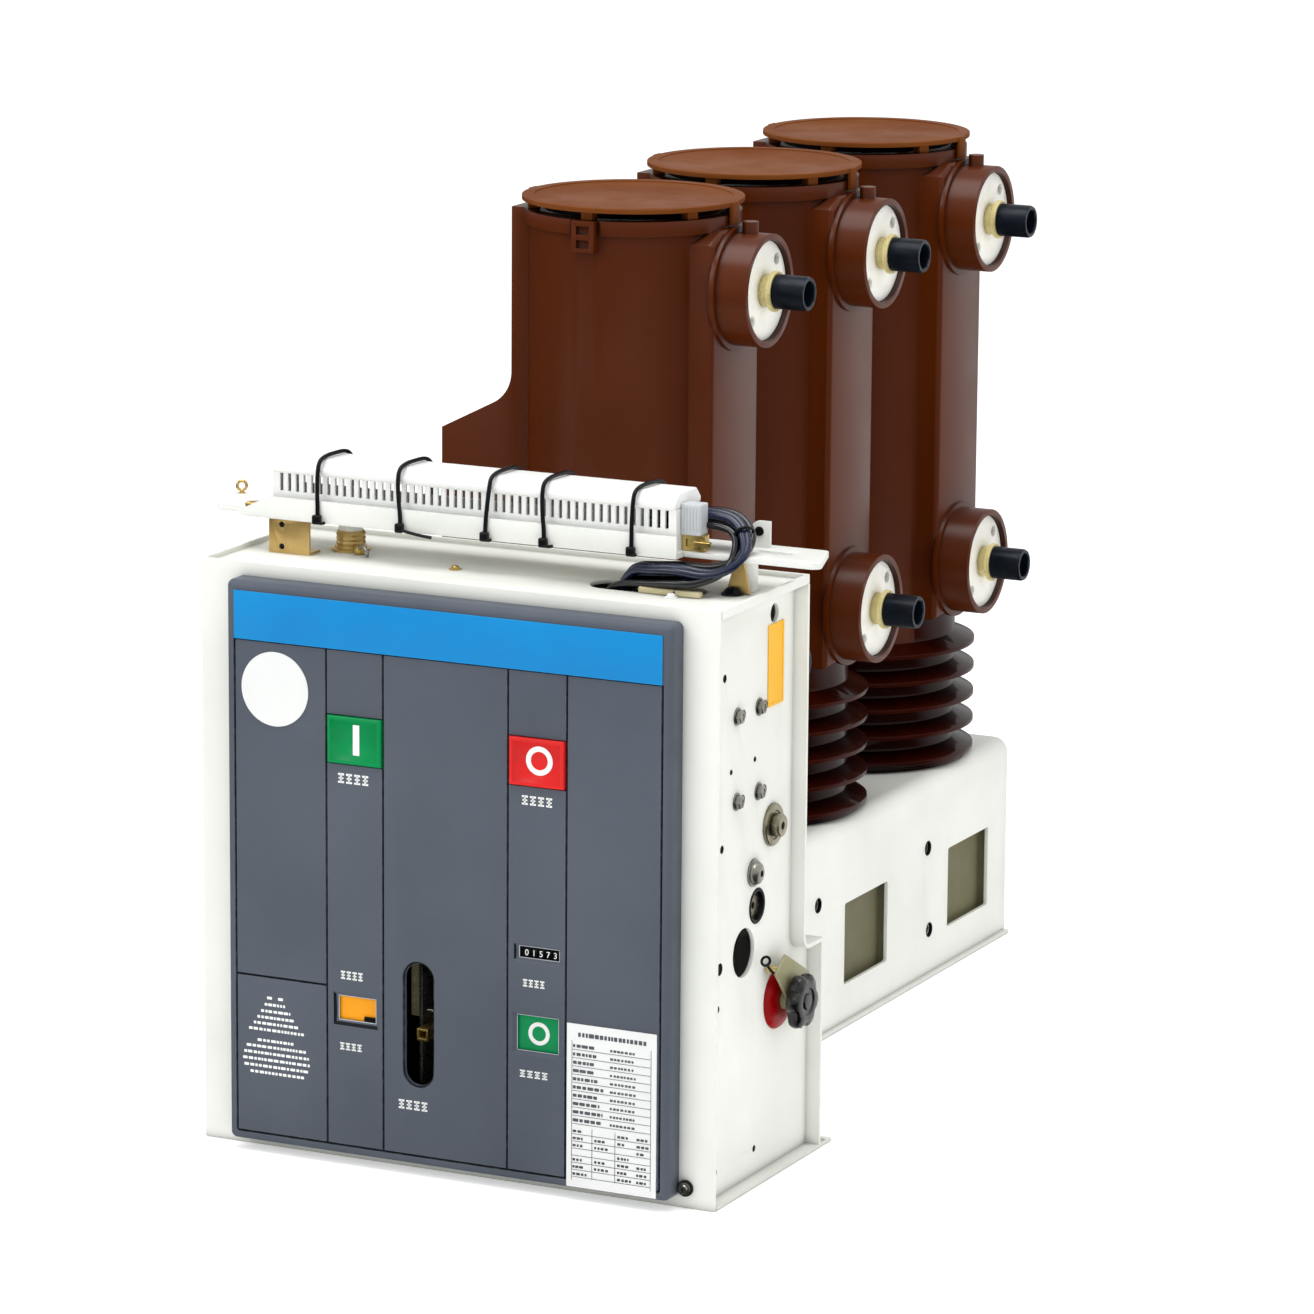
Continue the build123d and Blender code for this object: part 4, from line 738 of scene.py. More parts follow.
def strand(name: str, points: list[Vector], radius: float) -> bpy.types.Object:
    """Makes a round strand along a smooth curve.

    Args:
        name: the piece's name.
        points: the curve's control points, in metres.
        radius: radius in millimetres.

    Returns:
        The new curve.
    """
    line = bpy.data.curves.new(name, "CURVE")
    line.dimensions = "3D"
    line.bevel_depth = radius / 1000
    line.bevel_resolution = 3
    line.resolution_u = 8
    line.use_fill_caps = True
    run = line.splines.new("NURBS")
    run.points.add(len(points) - 1)
    for knot, point in zip(run.points, points):
        knot.co = (*point, 1.0)
    run.order_u = 3
    run.use_endpoint_u = True
    piece = bpy.data.objects.new(name, line)
    bpy.context.scene.collection.objects.link(piece)
    return piece


def meshed(line: bpy.types.Object) -> bpy.types.Object:
    """Turns a strand into a mesh, so that it can be joined to others."""
    deselect()
    line.select_set(True)
    bpy.context.view_layer.objects.active = line
    bpy.ops.object.convert(target="MESH")
    return bpy.context.object


def bridged(ring: bpy.types.Object, sides: int) -> bpy.types.Object:
    """Opens a turned ring by joining its two round end faces to each other."""
    with Bench(ring) as bench:
        bench.faces(lambda face: len(face.verts) == sides)
        bpy.ops.mesh.bridge_edge_loops()
    return ring


@dataclass
class Dresser:
    """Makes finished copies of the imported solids, with rounded edges."""

    nodes: dict[str, bpy.types.Object]
    joints: set[str] = field(default_factory=lambda: {"close_button", "open_button", "charging_lever"})

    def copy(self, node: str, coat: Coat, bevel: float = 0.5, segments: int = 2,
             angle: float = 32.0) -> bpy.types.Object:
        """Makes a merged copy of a solid with its sharp edges rounded, which stands for it.

        Args:
            node: the solid's name.
            coat: its finish.
            bevel: width of the rounding in millimetres.
            segments: steps in the rounding.
            angle: sharpness from which an edge is rounded, in degrees.

        Returns:
            The copy.
        """
        source = self.nodes[node]
        piece = bpy.data.objects.new(f"{node}_finished", source.data.copy())
        bpy.context.scene.collection.objects.link(piece)
        with Bench(piece, "VERT"):
            bpy.ops.mesh.select_all(action="SELECT")
            bpy.ops.mesh.remove_doubles(threshold=MERGE_WITHIN)
            bpy.ops.mesh.dissolve_limited(angle_limit=FLAT_WITHIN)
        if "custom_normal" in piece.data.attributes:
            piece.data.attributes.remove(piece.data.attributes["custom_normal"])
        if bevel:
            rounding = piece.modifiers.new("rounding", "BEVEL")
            rounding.width = bevel / 1000
            rounding.segments = segments
            rounding.limit_method = "ANGLE"
            rounding.angle_limit = math.radians(angle)
            rounding.use_clamp_overlap = True
            bpy.ops.object.modifier_apply(modifier=rounding.name)
        smooth(piece, angle)
        fitted(piece, coat, node if node in self.joints else BODY)
        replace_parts(piece, node)
        return piece


# Sub-assemblies

@dataclass
class Studio:
    """The floor, the soft light all round and the camera at the photograph's angle."""

    place: tuple[float, float, float] = (1.992456, -4.199486, 1.303059)
    azimuth: float = 25.78339
    elevation: float = 12.15270
    roll: float = 0.44131
    lens: float = 171.55
    floor_size: float = 120.0
    floor_tone: tuple[float, float] = (0.9, 0.93)
    floor_glow: float = 0.4
    sky_low: float = 0.5
    sky_high: float = 0.88
    card_low: float = 0.02
    card_high: float = 0.95
    card_side: tuple[float, float, float] = (0.46, 0.86, -0.2)
    bright_side: tuple[float, float, float] = (0.62, 0.62, 0.48)
    lights: tuple = (("key_light", (-2.6, -3.4, 3.0), (0, 0, 0.35), (2.4, 2.0), 54),
                     ("side_light", (3.4, 0.9, 1.6), (0, 0, 0.35), (1.0, 2.4), 1),
                     ("top_light", (0.0, -0.6, 3.2), (0, 0, 0.4), (2.0, 2.0), 54))

    def camera(self) -> None:
        """Sets up the camera from its solved place and angles."""
        round_z, rise, roll = (math.radians(angle) for angle in (self.azimuth, self.elevation, self.roll))
        back = Vector((math.sin(round_z) * math.cos(rise), -math.cos(round_z) * math.cos(rise),
                       math.sin(rise)))
        right = Vector((math.cos(round_z), math.sin(round_z), 0.0))
        up = back.cross(right)
        across = right * math.cos(roll) + up * math.sin(roll)
        above = up * math.cos(roll) - right * math.sin(roll)
        lens = bpy.data.cameras.new("studio_camera")
        lens.lens, lens.sensor_width = self.lens, 36.0
        lens.clip_end = 200.0
        camera = bpy.data.objects.new("studio_camera", lens)
        turn = Matrix((across, above, back)).transposed().to_4x4()
        camera.matrix_world = Matrix.Translation(self.place) @ turn
        bpy.context.scene.collection.objects.link(camera)
        bpy.context.scene.camera = camera

    def light(self, name: str, place: tuple, aim: tuple, size: tuple, power: float) -> None:
        """Hangs a large soft light.

        Args:
            name: its name.
            place: where it hangs, in metres.
            aim: the point that it faces.
            size: its width and height in metres.
            power: its power in watts.
        """
        lamp = bpy.data.lights.new(name, "AREA")
        lamp.shape = "RECTANGLE"
        lamp.size, lamp.size_y = size
        lamp.energy = power
        hung = bpy.data.objects.new(name, lamp)
        hung.location = place
        facing = Vector(aim) - Vector(place)
        hung.rotation_mode = "QUATERNION"
        hung.rotation_quaternion = facing.to_track_quat("-Z", "Y")
        bpy.context.scene.collection.objects.link(hung)

    def floor(self) -> None:
        """Lays a pale floor, brighter than paper so that it hardly shows a shadow."""
        deselect()
        bpy.ops.mesh.primitive_grid_add(x_subdivisions=8, y_subdivisions=8, size=self.floor_size)
        ground = bpy.context.object
        ground.name = "studio_floor"
        material = bpy.data.materials.new("studio_floor")
        material.use_nodes = True
        tree = material.node_tree
        shader = tree.nodes["Principled BSDF"]
        noise = tree.nodes.new("ShaderNodeTexNoise")
        place = tree.nodes.new("ShaderNodeTexCoord")
        noise.inputs["Scale"].default_value = 2.0
        tree.links.new(place.outputs["Object"], noise.inputs["Vector"])
        ramp = tree.nodes.new("ShaderNodeMapRange")
        ramp.inputs["To Min"].default_value, ramp.inputs["To Max"].default_value = self.floor_tone
        tree.links.new(noise.outputs["Fac"], ramp.inputs["Value"])
        tree.links.new(ramp.outputs[0], shader.inputs["Base Color"])
        shader.inputs["Roughness"].default_value = 0.9
        shader.inputs["Specular IOR Level"].default_value = 0.1
        shader.inputs["Emission Color"].default_value = (1.0, 1.0, 0.99, 1.0)
        shader.inputs["Emission Strength"].default_value = self.floor_glow
        ground.data.materials.append(material)
        ground.visible_glossy = False

    def sky(self) -> None:
        """Lights the studio softly from all round, brighter from the terminals' side and above.

        Under the horizon, which only reflections see, it is dark but for a pale card behind the terminals.
        """
        world = bpy.data.worlds.new("studio")
        world.use_nodes = True
        tree = world.node_tree
        place = tree.nodes.new("ShaderNodeTexCoord")
        upper = self.glow(tree, place, self.bright_side, (-0.6, 1.0), (self.sky_low, self.sky_high))
        lower = self.glow(tree, place, self.card_side, (0.55, 0.95), (self.card_low, self.card_high))
        rise = self.glow(tree, place, (0.0, 0.0, 1.0), (-0.05, 0.02), (0.0, 1.0))
        mix = tree.nodes.new("ShaderNodeMix")
        tree.links.new(rise, mix.inputs["Factor"])
        tree.links.new(lower, mix.inputs["A"])
        tree.links.new(upper, mix.inputs["B"])
        tree.links.new(mix.outputs["Result"], tree.nodes["Background"].inputs["Strength"])
        tree.nodes["Background"].inputs["Color"].default_value = (1.0, 1.0, 0.995, 1.0)
        bpy.context.scene.world = world
        bpy.context.scene.view_settings.view_transform = "Standard"

    def glow(self, tree: bpy.types.NodeTree, place: bpy.types.Node, side: tuple, reach: tuple,
             strength: tuple) -> bpy.types.NodeSocket:
        """Makes a strength that grows smoothly towards one side.

        Args:
            tree: the world's tree.
            place: the node that gives the direction.
            side: the side that it grows towards.
            reach: the two cosines between which it grows.
            strength: its values at those two.

        Returns:
            The socket of the strength.
        """
        dot = tree.nodes.new("ShaderNodeVectorMath")
        dot.operation = "DOT_PRODUCT"
        dot.inputs[1].default_value = Vector(side).normalized()
        tree.links.new(place.outputs["Generated"], dot.inputs[0])
        ramp = tree.nodes.new("ShaderNodeMapRange")
        ramp.interpolation_type = "SMOOTHSTEP"
        ramp.inputs["From Min"].default_value, ramp.inputs["From Max"].default_value = reach
        ramp.inputs["To Min"].default_value, ramp.inputs["To Max"].default_value = strength
        tree.links.new(dot.outputs["Value"], ramp.inputs["Value"])
        return ramp.outputs[0]

    def build(self) -> None:
        """Sets up floor, sky, lights and camera."""
        self.camera()
        self.floor()
        self.sky()
        for light in self.lights:
            self.light(*light)


@dataclass
class DriveBox:
    """The sheet-steel box: frame, sides, tray, rear and bottom, with its screws."""

    dresser: Dresser
    screw_place: tuple[float, float] = (387.5, 15.0)
    edgings: tuple = ((338, 15), (360, 11))
    tray_screws: tuple = ((351, 44), (172, 62), (300, 100))

    def build(self) -> None:
        """Dresses the sheets and adds the corner screw, the edging and small screws."""
        for node, bevel in (("front_frame", 1.2), ("left_side_plate", 0.6), ("right_side_plate", 0.6),
                            ("top_tray", 0.8), ("back_plate", 0.5), ("bottom_plate", 0.5)):
            self.dresser.copy(node, Coat.POWDER_WHITE, bevel)
        self.screw()
        self.pads()

    def screw(self) -> None:
        """The screw at the cover's lower right corner, with its washer and a round recess in its head."""
        x, z = self.screw_place
        head = turned("corner_screw", spot(x, -3, z), TO_FRONT,
                      [(4.9, 0), (4.9, 1.0), (3.6, 1.2), (3.6, 2.0), (3.0, 2.8), (1.2, 2.8), (1.2, 1.6)], 24)
        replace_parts(fitted(head, Coat.ZINC), "cover_screw")
        rim = turned("corner_screw_cup", spot(x, 0.2, z), TO_FRONT,
                     [(5.8, 0), (5.8, 2.4), (5.0, 3.1), (4.9, 3.0), (4.9, 1.6)], 24)
        fitted(rim, Coat.DRUM_BLACK)

    def pads(self) -> None:
        """The buff edging and the screws round the hole that the wires go down."""
        parts = []
        for i, (x, half) in enumerate(self.edgings):
            parts.append(slab(f"edging_{i}", spot(x - half, 48.5, TRAY_FLOOR),
                              spot(x + half, 54, TRAY_FLOOR + 4.5), 1.2, 3))
        fitted(joined(parts, "wire_hole_edging"), Coat.BUFF_PAD)
        for i, (x, y) in enumerate(self.tray_screws):
            head = turned(f"tray_screw_{i}", spot(x, y, TRAY_FLOOR - 0.2), Z_AXIS,
                          [(4.6, 0), (4.6, 0.8), (3.2, 1.0), (3.0, 2.2), (2.0, 3.2), (0.9, 3.2),
                           (0.9, 2.0)], 20)
            fitted(head, Coat.PLATE_WHITE if i == 0 else Coat.BRASS)


@dataclass
class Printing:
    """Small raised print: generic bars, without any writing."""

    proud: float = 0.25
    seed: int = 7
    marks_each: int = 4
    mark_share: float = 0.74
    shortest: float = 1.4
    gap: tuple[float, float] = (0.6, 1.2)

    def bars(self, name: str, bars: list[tuple[float, float, float, float]], y: float,
             coat: Coat, body: str = BODY) -> bpy.types.Object:
        """Lays flat bars on a face that looks to the front.

        Args:
            name: the joined piece's name.
            bars: left, right, bottom and top of each, in millimetres.
            y: depth of the face that they lie on.
            coat: their finish.
            body: the body that they ride on.

        Returns:
            The joined piece.
        """
        blank = slab(f"{name}_blank", Vector((-0.5, -0.5, -0.5)), Vector((0.5, 0.5, 0.5)), 90, 1)
        laid = []
        for left, right, bottom, top in bars:
            middle = spot((left + right) / 2, y - self.proud / 2 + 0.02, (bottom + top) / 2)
            size = Vector(((right - left) / 1000, self.proud / 1000, (top - bottom) / 1000))
            laid.append(twin(blank, f"{name}_bar", middle, size))
        bpy.data.objects.remove(blank)
        return fitted(joined(laid, name), coat, body)

    def caption(self, left: float, right: float, bottom: float, top: float) -> list[tuple]:
        """Four small marks in a row, each of an upright and three strokes across."""
        marks, step = [], (right - left) / self.marks_each
        height = top - bottom
        for i in range(self.marks_each):
            x = left + i * step
            width = step * self.mark_share
            marks.append((x, x + width, bottom + height * 0.78, top))
            marks.append((x + width * 0.1, x + width * 0.9, bottom + height * 0.4, bottom + height * 0.58))
            marks.append((x, x + width, bottom, bottom + height * 0.2))
            marks.append((x + width * 0.36, x + width * 0.62, bottom, top))
        return marks

    def row(self, left: float, right: float, bottom: float, height: float, chance: random.Random,
            longest: float) -> list[tuple]:
        """A row of short dashes of uneven length between two ends."""
        marks, x = [], left
        while x < right - 1:
            end = min(x + chance.uniform(self.shortest, longest), right)
            marks.append((x, end, bottom, bottom + height))
            x = end + chance.uniform(*self.gap)
        return marks


@dataclass
class ControlPanel:
    """The moulded cover with its strip, plates and print."""

    dresser: Dresser
    printing: Printing
    captions: tuple = ((120.6, 146.6, 281.5, 288.7), (266.7, 292.0, 282.0, 288.7),
                       (122.4, 141.2, 138.2, 144.2), (121.6, 140.3, 86.0, 91.3),
                       (169.0, 193.6, 48.8, 55.5), (268.0, 286.0, 150.8, 156.2),
                       (265.7, 289.0, 84.7, 89.9))
    plate: tuple = (303.0, 373.0, 10.0, 129.0)
    note_top: tuple = ((62, 66, 115.5, 117.5), (71, 75, 115.5, 117.5))
    note_rows: tuple = ((60, 78, 110.5), (57, 81, 105.5), (54, 84, 100.8), (51, 88, 96.2), (47, 92, 91.6),
                        (54, 84, 83.5), (45, 94, 78.8), (43, 96, 74.0), (42, 97, 69.2), (43, 96, 64.4),
                        (48, 92, 59.6))
    table_rows: int = 10
    table_pitch: float = 6.0
    foot_rows: int = 7
    foot_pitch: float = 5.2
    foot_columns: tuple = (5, 22, 40, 55)
    foot_share: float = 0.75

    def build(self) -> None:
        """Dresses the cover and lays its plates and print on it."""
        self.dresser.copy("front_cover", Coat.PANEL_GREY, 0.35)
        self.dresser.copy("name_strip", Coat.STRIP_BLUE, 0.3)
        self.dresser.copy("blank_disc", Coat.PLATE_WHITE, 0.4)
        self.dresser.copy("rating_plate", Coat.PLATE_WHITE, 0.3)
        marks = [bar for caption in self.captions for bar in self.printing.caption(*caption)]
        self.printing.bars("captions", marks, COVER_Y, Coat.PRINT_WHITE)
        self.note()
        self.table()

    def note(self) -> None:
        """The block of small print at the lower left, as generic dashes."""
        chance = random.Random(self.printing.seed)
        marks = list(self.note_top)
        for left, right, bottom in self.note_rows:
            marks += self.printing.row(left, right, bottom, 2.0, chance, 4.0)
        self.printing.bars("note_print", marks, COVER_Y, Coat.PRINT_WHITE)

    def table(self) -> None:
        """The plate's generic table: a heading, rows of dashes and ruled boxes."""
        chance = random.Random(self.printing.seed + 1)
        left, right, bottom, top = self.plate
        marks = self.printing.row(left + 9, right - 8, top - 9, 3.0, chance, 4.0)
        for i in range(self.table_rows):
            z = top - 17 - i * self.table_pitch
            marks += self.printing.row(left + 5, left + 25 + chance.uniform(-4, 4), z, 2.2, chance, 5.0)
            marks += self.printing.row(left + 34, right - 16, z, 1.6, chance, 2.4)
            marks.append((left + 4, right - 4, z - 1.7, z - 1.4))
        for i in range(self.foot_rows):
            z = bottom + 9 + i * self.foot_pitch
            marks.append((left + 4, right - 4, z - 1.5, z - 1.2))
            for x in self.foot_columns:
                if chance.random() < self.foot_share:
                    end = left + x + chance.uniform(5, 11)
                    marks += self.printing.row(left + x, end, z, 1.7, chance, 3.0)
        for x in (left + 4, right - 4.3):
            marks.append((x, x + 0.3, bottom + 5, top - 12))
        for x in (left + 20, left + 38):
            marks.append((x, x + 0.3, bottom + 7, bottom + 44))
        self.printing.bars("table_print", marks, COVER_Y - 1.0, Coat.PRINT_DARK)


@dataclass
class Buttons:
    """The green and the red push button with their marks."""

    dresser: Dresser
    printing: Printing
    face: float = -19.5
    bar: tuple = (133.4, 138.6, 303.0, 325.0)
    ring: tuple = (281.0, 314.8)
    ring_radii: tuple = (10.4, 6.6)

    def build(self) -> None:
        """Dresses both buttons and raises the bar and the ring on them."""
        sunk(self.dresser.copy("close_button", Coat.BUTTON_GREEN, 0.3), TO_FRONT, 1.4, 0.5)
        sunk(self.dresser.copy("open_button", Coat.BUTTON_RED, 0.3), TO_FRONT, 1.4, 0.5)
        left, right, bottom, top = self.bar
        bar = slab("bar_mark", spot(left, self.face - 0.35, bottom), spot(right, self.face + 0.1, top),
                   0.2, 1)
        fitted(bar, Coat.PRINT_WHITE, "close_button")
        x, z = self.ring
        fitted(ring_mark("ring_mark", x, self.face, z, *self.ring_radii), Coat.PRINT_WHITE, "open_button")


def ring_mark(name: str, x: float, y: float, z: float, outer: float, inner: float) -> bpy.types.Object:
    """Makes a thin flat ring on a face that looks to the front.

    Args:
        name: the piece's name.
        x: its middle from the box's left edge, in millimetres.
        y: the depth of the face.
        z: its middle's height.
        outer: outer radius.
        inner: inner radius.

    Returns:
        The new piece.
    """
    disc = turned(name, spot(x, y + 0.1, z), TO_FRONT,
                  [(outer, 0), (outer, 0.35), (outer - 0.2, 0.45), (inner + 0.2, 0.45), (inner, 0.35),
                   (inner, 0.05)], 48)
    return bridged(disc, 48)


@dataclass
class Windows:
    """What shows in the panel's three windows."""

    dresser: Dresser
    printing: Printing
    piece_face: float = -14.0
    frames: tuple = ((119.5, 149.5, 107.5, 125.4), (263.8, 295.5, 171.0, 179.5), (262.3, 295.0, 103.5, 129.5))
    position_ring: tuple = (278.8, 116.5, 8.4, 5.4)
    figures: str = "01573"
    first_wheel: float = 267.5
    wheel_pitch: float = 5.6
    wheel_height: float = 175.2
    figure_size: float = 6.2
    rim_out: float = 1.0
    rim_in: float = 0.3
    rim_depth: float = 2.6

    def build(self) -> None:
        """Dresses the flags and the counter and adds their marks and rims."""
        self.dresser.copy("charge_indicator", Coat.FLAG_ORANGE, 0.3)
        self.dresser.copy("operation_counter", Coat.DRUM_BLACK, 0.3)
        self.dresser.copy("position_indicator", Coat.FLAG_GREEN, 0.3)
        x, z, outer, inner = self.position_ring
        fitted(ring_mark("position_ring", x, self.piece_face, z, outer, inner), Coat.PRINT_WHITE)
        self.notch()
        self.counter()
        for i, frame in enumerate(self.frames):
            self.rim(i, *frame)

    def notch(self) -> None:
        """The dark end of the spring flag's link, at the window's lower right."""
        notch = slab("flag_link", spot(139.5, self.piece_face - 1.4, 106.5),
                     spot(148.5, self.piece_face + 0.1, 111.5), 0.5)
        fitted(notch, Coat.DRUM_BLACK)

    def counter(self) -> None:
        """The counter's wheels with their figures."""
        wheels = []
        for i in range(len(self.figures)):
            x = self.first_wheel + i * self.wheel_pitch
            wheels.append(turned(f"wheel_{i}", spot(x, self.piece_face + 2.2, self.wheel_height), X_AXIS,
                                 [(3.4, 0), (3.9, 0.3), (3.9, 4.4), (3.4, 4.7)], 28))
        fitted(joined(wheels, "counter_wheels"), Coat.DRUM_BLACK)
        figures = []
        for i, figure in enumerate(self.figures):
            deselect()
            bpy.ops.object.text_add()
            text = bpy.context.object
            text.data.body = figure
            text.data.size = self.figure_size / 1000
            text.data.extrude = 0.0001
            text.data.align_x = "CENTER"
            bpy.ops.object.convert(target="MESH")
            text.rotation_euler = (math.pi / 2, 0, 0)
            text.location = spot(self.first_wheel + 2.3 + i * self.wheel_pitch, self.piece_face - 1.8,
                                 self.wheel_height - 2.2)
            figures.append(settle(text))
        fitted(joined(figures, "counter_figures"), Coat.PRINT_WHITE)

    def rim(self, index: int, left: float, right: float, bottom: float, top: float) -> None:
        """The thin pale seal round a window, inside its bevel.

        Args:
            index: the window's number.
            left: left edge of the opening.
            right: right edge.
            bottom: lower edge.
            top: upper edge.
        """
        out, into = self.rim_out, self.rim_in
        bars = [(left - out, right + out, bottom - out, bottom + into),
                (left - out, right + out, top - into, top + out),
                (left - out, left + into, bottom, top), (right - into, right + out, bottom, top)]
        self.printing.bars(f"window_rim_{index}", bars, COVER_Y + self.rim_depth, Coat.PLUG_GREY)


@dataclass
class LeverSlot:
    """The charging lever in its slot, and the parts seen round it."""

    dresser: Dresser
    x: float = 184.7
    shade_backing_y: float = 40.0
    tick_zs: tuple = (98, 118)

    def build(self) -> None:
        """Dresses lever and bracket, and adds a black sheet behind the slot as painted shade, the guide bar
        and ticks.
        """
        self.dresser.copy("charging_lever", Coat.BRASS, 0.5)
        self.dresser.copy("charging_bracket", Coat.ZINC, 0.4)
        shade_backing = slab("slot_painted_shade", spot(self.x - 44, self.shade_backing_y, 50),
                      spot(self.x + 18, self.shade_backing_y + 2, 174), 0.8)
        fitted(sunk(shade_backing, TO_FRONT, 3, 1), Coat.DARK_INSIDE)
        bar = slab("guide_bar", spot(164.5, 9, 110), spot(172.5, 13, 152), 0.8)
        fitted(sunk(bar, TO_FRONT, 1.6, 0.8), Coat.KHAKI_PLATE)
        ticks = [slab(f"tick_{z}", spot(183, -2, z), spot(188.5, -0.6, z + 1.6), 0.3) for z in self.tick_zs]
        fitted(joined(ticks, "slot_ticks"), Coat.ZINC)


@dataclass
class SideFittings:
    """Bolts, shaft ends, label and painted shade in the holes on the right side plate."""

    dresser: Dresser
    bolts: tuple = ((52.5, 344.5), (88.5, 344.5), (52.5, 283.5), (88.5, 283.5))
    dots: tuple = ((43.0, 306.5), (82.0, 308.0))
    small_holes: tuple = ((31.5, 375.5, 3.0), (29.5, 254.0, 3.0), (28.0, 168.0, 4.5), (25.5, 139.5, 2.5),
                          (88.0, 22.0, 2.5), (24.0, 21.0, 2.5))
    dome_place: tuple = (81.5, 226.0)
    main_shaft: tuple = (112.0, 254.5)
    cross_shaft: tuple = (88.4, 200.4)
    label_edges: tuple = (102.0, 127.6, 341.0, 400.0)
    label_corner: float = 10.5

    def build(self) -> None:
        """Adds bolts, dome, shaft ends, the holes' painted shade, label and rivets."""
        heads = []
        for i, (y, z) in enumerate(self.bolts):
            heads.append(self.bolt(i, y, z))
            self.oval(i, y + 9.5, z - 0.6)
        dome = turned("dome", spot(SIDE_X - 0.1, *self.dome_place), X_AXIS,
                      [(9.9, 0), (9.9, 1.6), (8.4, 1.8), (8.2, 3.6), (7.4, 5.2), (5.6, 6.4), (3.2, 7.0),
                       (2.4, 7.0), (2.2, 5.2)], 32)
        bolts = fitted(joined(heads + [dome], "side_bolt_heads"), Coat.ZINC)
        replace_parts(bolts, "side_bolts")
        self.shafts()
        self.label()
        dots = [turned(f"dot_{i}", spot(SIDE_X - 0.2, y, z), X_AXIS, [(1.9, 0), (1.9, 0.5), (1.2, 0.9)], 12)
                for i, (y, z) in enumerate(self.dots)]
        fitted(joined(dots, "side_rivets"), Coat.DRUM_BLACK)

    def label(self) -> None:
        """The yellow plate, bare here, with a pressed border."""
        front, rear, bottom, top = self.label_edges
        plate = slab("yellow_plate", spot(SIDE_X - 0.1, front, bottom), spot(SIDE_X + 0.8, rear, top),
                     0.01, 1)
        with Bench(plate, "EDGE") as bench:
            bench.edges(lambda edge: abs(edge.verts[0].co.x - edge.verts[1].co.x) > 0.0005)
            bpy.ops.mesh.bevel(offset=self.label_corner / 1000, segments=6, affect="EDGES")
        with Bench(plate) as bench:
            bench.faces(lambda face: face.normal.x > 0.95 and face.calc_area() > 0.0005)
            bpy.ops.mesh.inset(thickness=0.0016)
            bpy.ops.mesh.inset(thickness=0.0005)
            bpy.ops.mesh.extrude_region_move(TRANSFORM_OT_translate={"value": (-0.0003, 0, 0)})
        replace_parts(fitted(smooth(plate), Coat.LABEL_YELLOW), "side_label")

    def bolt(self, index: int, y: float, z: float) -> bpy.types.Object:
        """A hexagon head on its round washer.

        Args:
            index: the bolt's number.
            y: its depth from the box's front.
            z: its height.

        Returns:
            The bolt's mesh.
        """
        washer = turned(f"washer_{index}", spot(SIDE_X - 0.1, y, z), X_AXIS,
                        [(6.4, 0), (6.4, 0.7), (6.0, 1.0), (4.4, 1.0), (4.3, 0.9)], 28)
        head = turned(f"hexagon_{index}", spot(SIDE_X + 0.8, y, z), X_AXIS,
                      [(5.2, 0), (5.2, 3.0), (4.4, 3.6), (2.6, 3.6), (2.4, 3.2)], 6)
        return joined([washer, head], f"bolt_{index}")

    def oval(self, index: int, y: float, z: float) -> None:
        """A small dark disc beside a bolt."""
        plug = turned(f"slot_plug_{index}", spot(SIDE_X - 0.15, y, z), X_AXIS,
                      [(3.6, 0), (3.6, 0.5), (3.0, 0.8), (2.0, 0.6), (1.8, 0.4)], 24)
        fitted(plug, Coat.DRUM_BLACK)

    def shafts(self) -> None:
        """Both shaft ends, the cross shaft's black ring, and dark discs in the small holes and a black sheet
        behind the large hole, both painted shade.
        """
        end = turned("main_shaft_end", spot(SIDE_X - 0.1, *self.main_shaft), X_AXIS,
                     [(15.4, 0), (15.4, 2.0), (14.6, 2.9), (10.6, 2.9), (10.2, 2.2), (8.4, 2.2), (8.2, 8.0),
                      (7.4, 8.9), (3.0, 8.9), (2.6, 6.4)], 40)
        cross = turned("cross_shaft_end", spot(SIDE_X - 26, *self.cross_shaft), X_AXIS,
                       [(8.4, 0), (8.4, 22.0), (7.6, 22.8), (2.6, 22.8), (2.2, 20.6)], 32)
        both = fitted(joined([end, cross], "shaft_ends"), Coat.SHAFT_STEEL)
        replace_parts(both, "side_shafts")
        ring = turned("cross_shaft_ring", spot(SIDE_X - 3.2, *self.cross_shaft), X_AXIS,
                      [(12.9, 0), (12.9, 3.4), (12.2, 3.9), (10.4, 3.6), (10.0, 2.6), (9.6, 0.4)], 36)
        fitted(bridged(ring, 36), Coat.DRUM_BLACK)
        shaded_holes = [turned(f"hole_plug_{i}", spot(SIDE_X - 1.5, y, z), X_AXIS,
                        [(radius + 0.3, 0), (radius + 0.3, 1.1), (radius - 0.2, 1.3),
                         (radius - 1.0, 1.0)], 20)
                 for i, (y, z, radius) in enumerate(self.small_holes)]
        fitted(joined(shaded_holes, "side_holes_painted_shade"), Coat.DARK_INSIDE)
        # A black sheet behind the large hole, a painted shade.
        shade_backing = slab("side_hole_painted_shade", spot(SIDE_X - 30, 40, 145), spot(SIDE_X - 28, 112, 222), 0.6)
        fitted(sunk(shade_backing, X_AXIS, 3, 1), Coat.DARK_INSIDE)


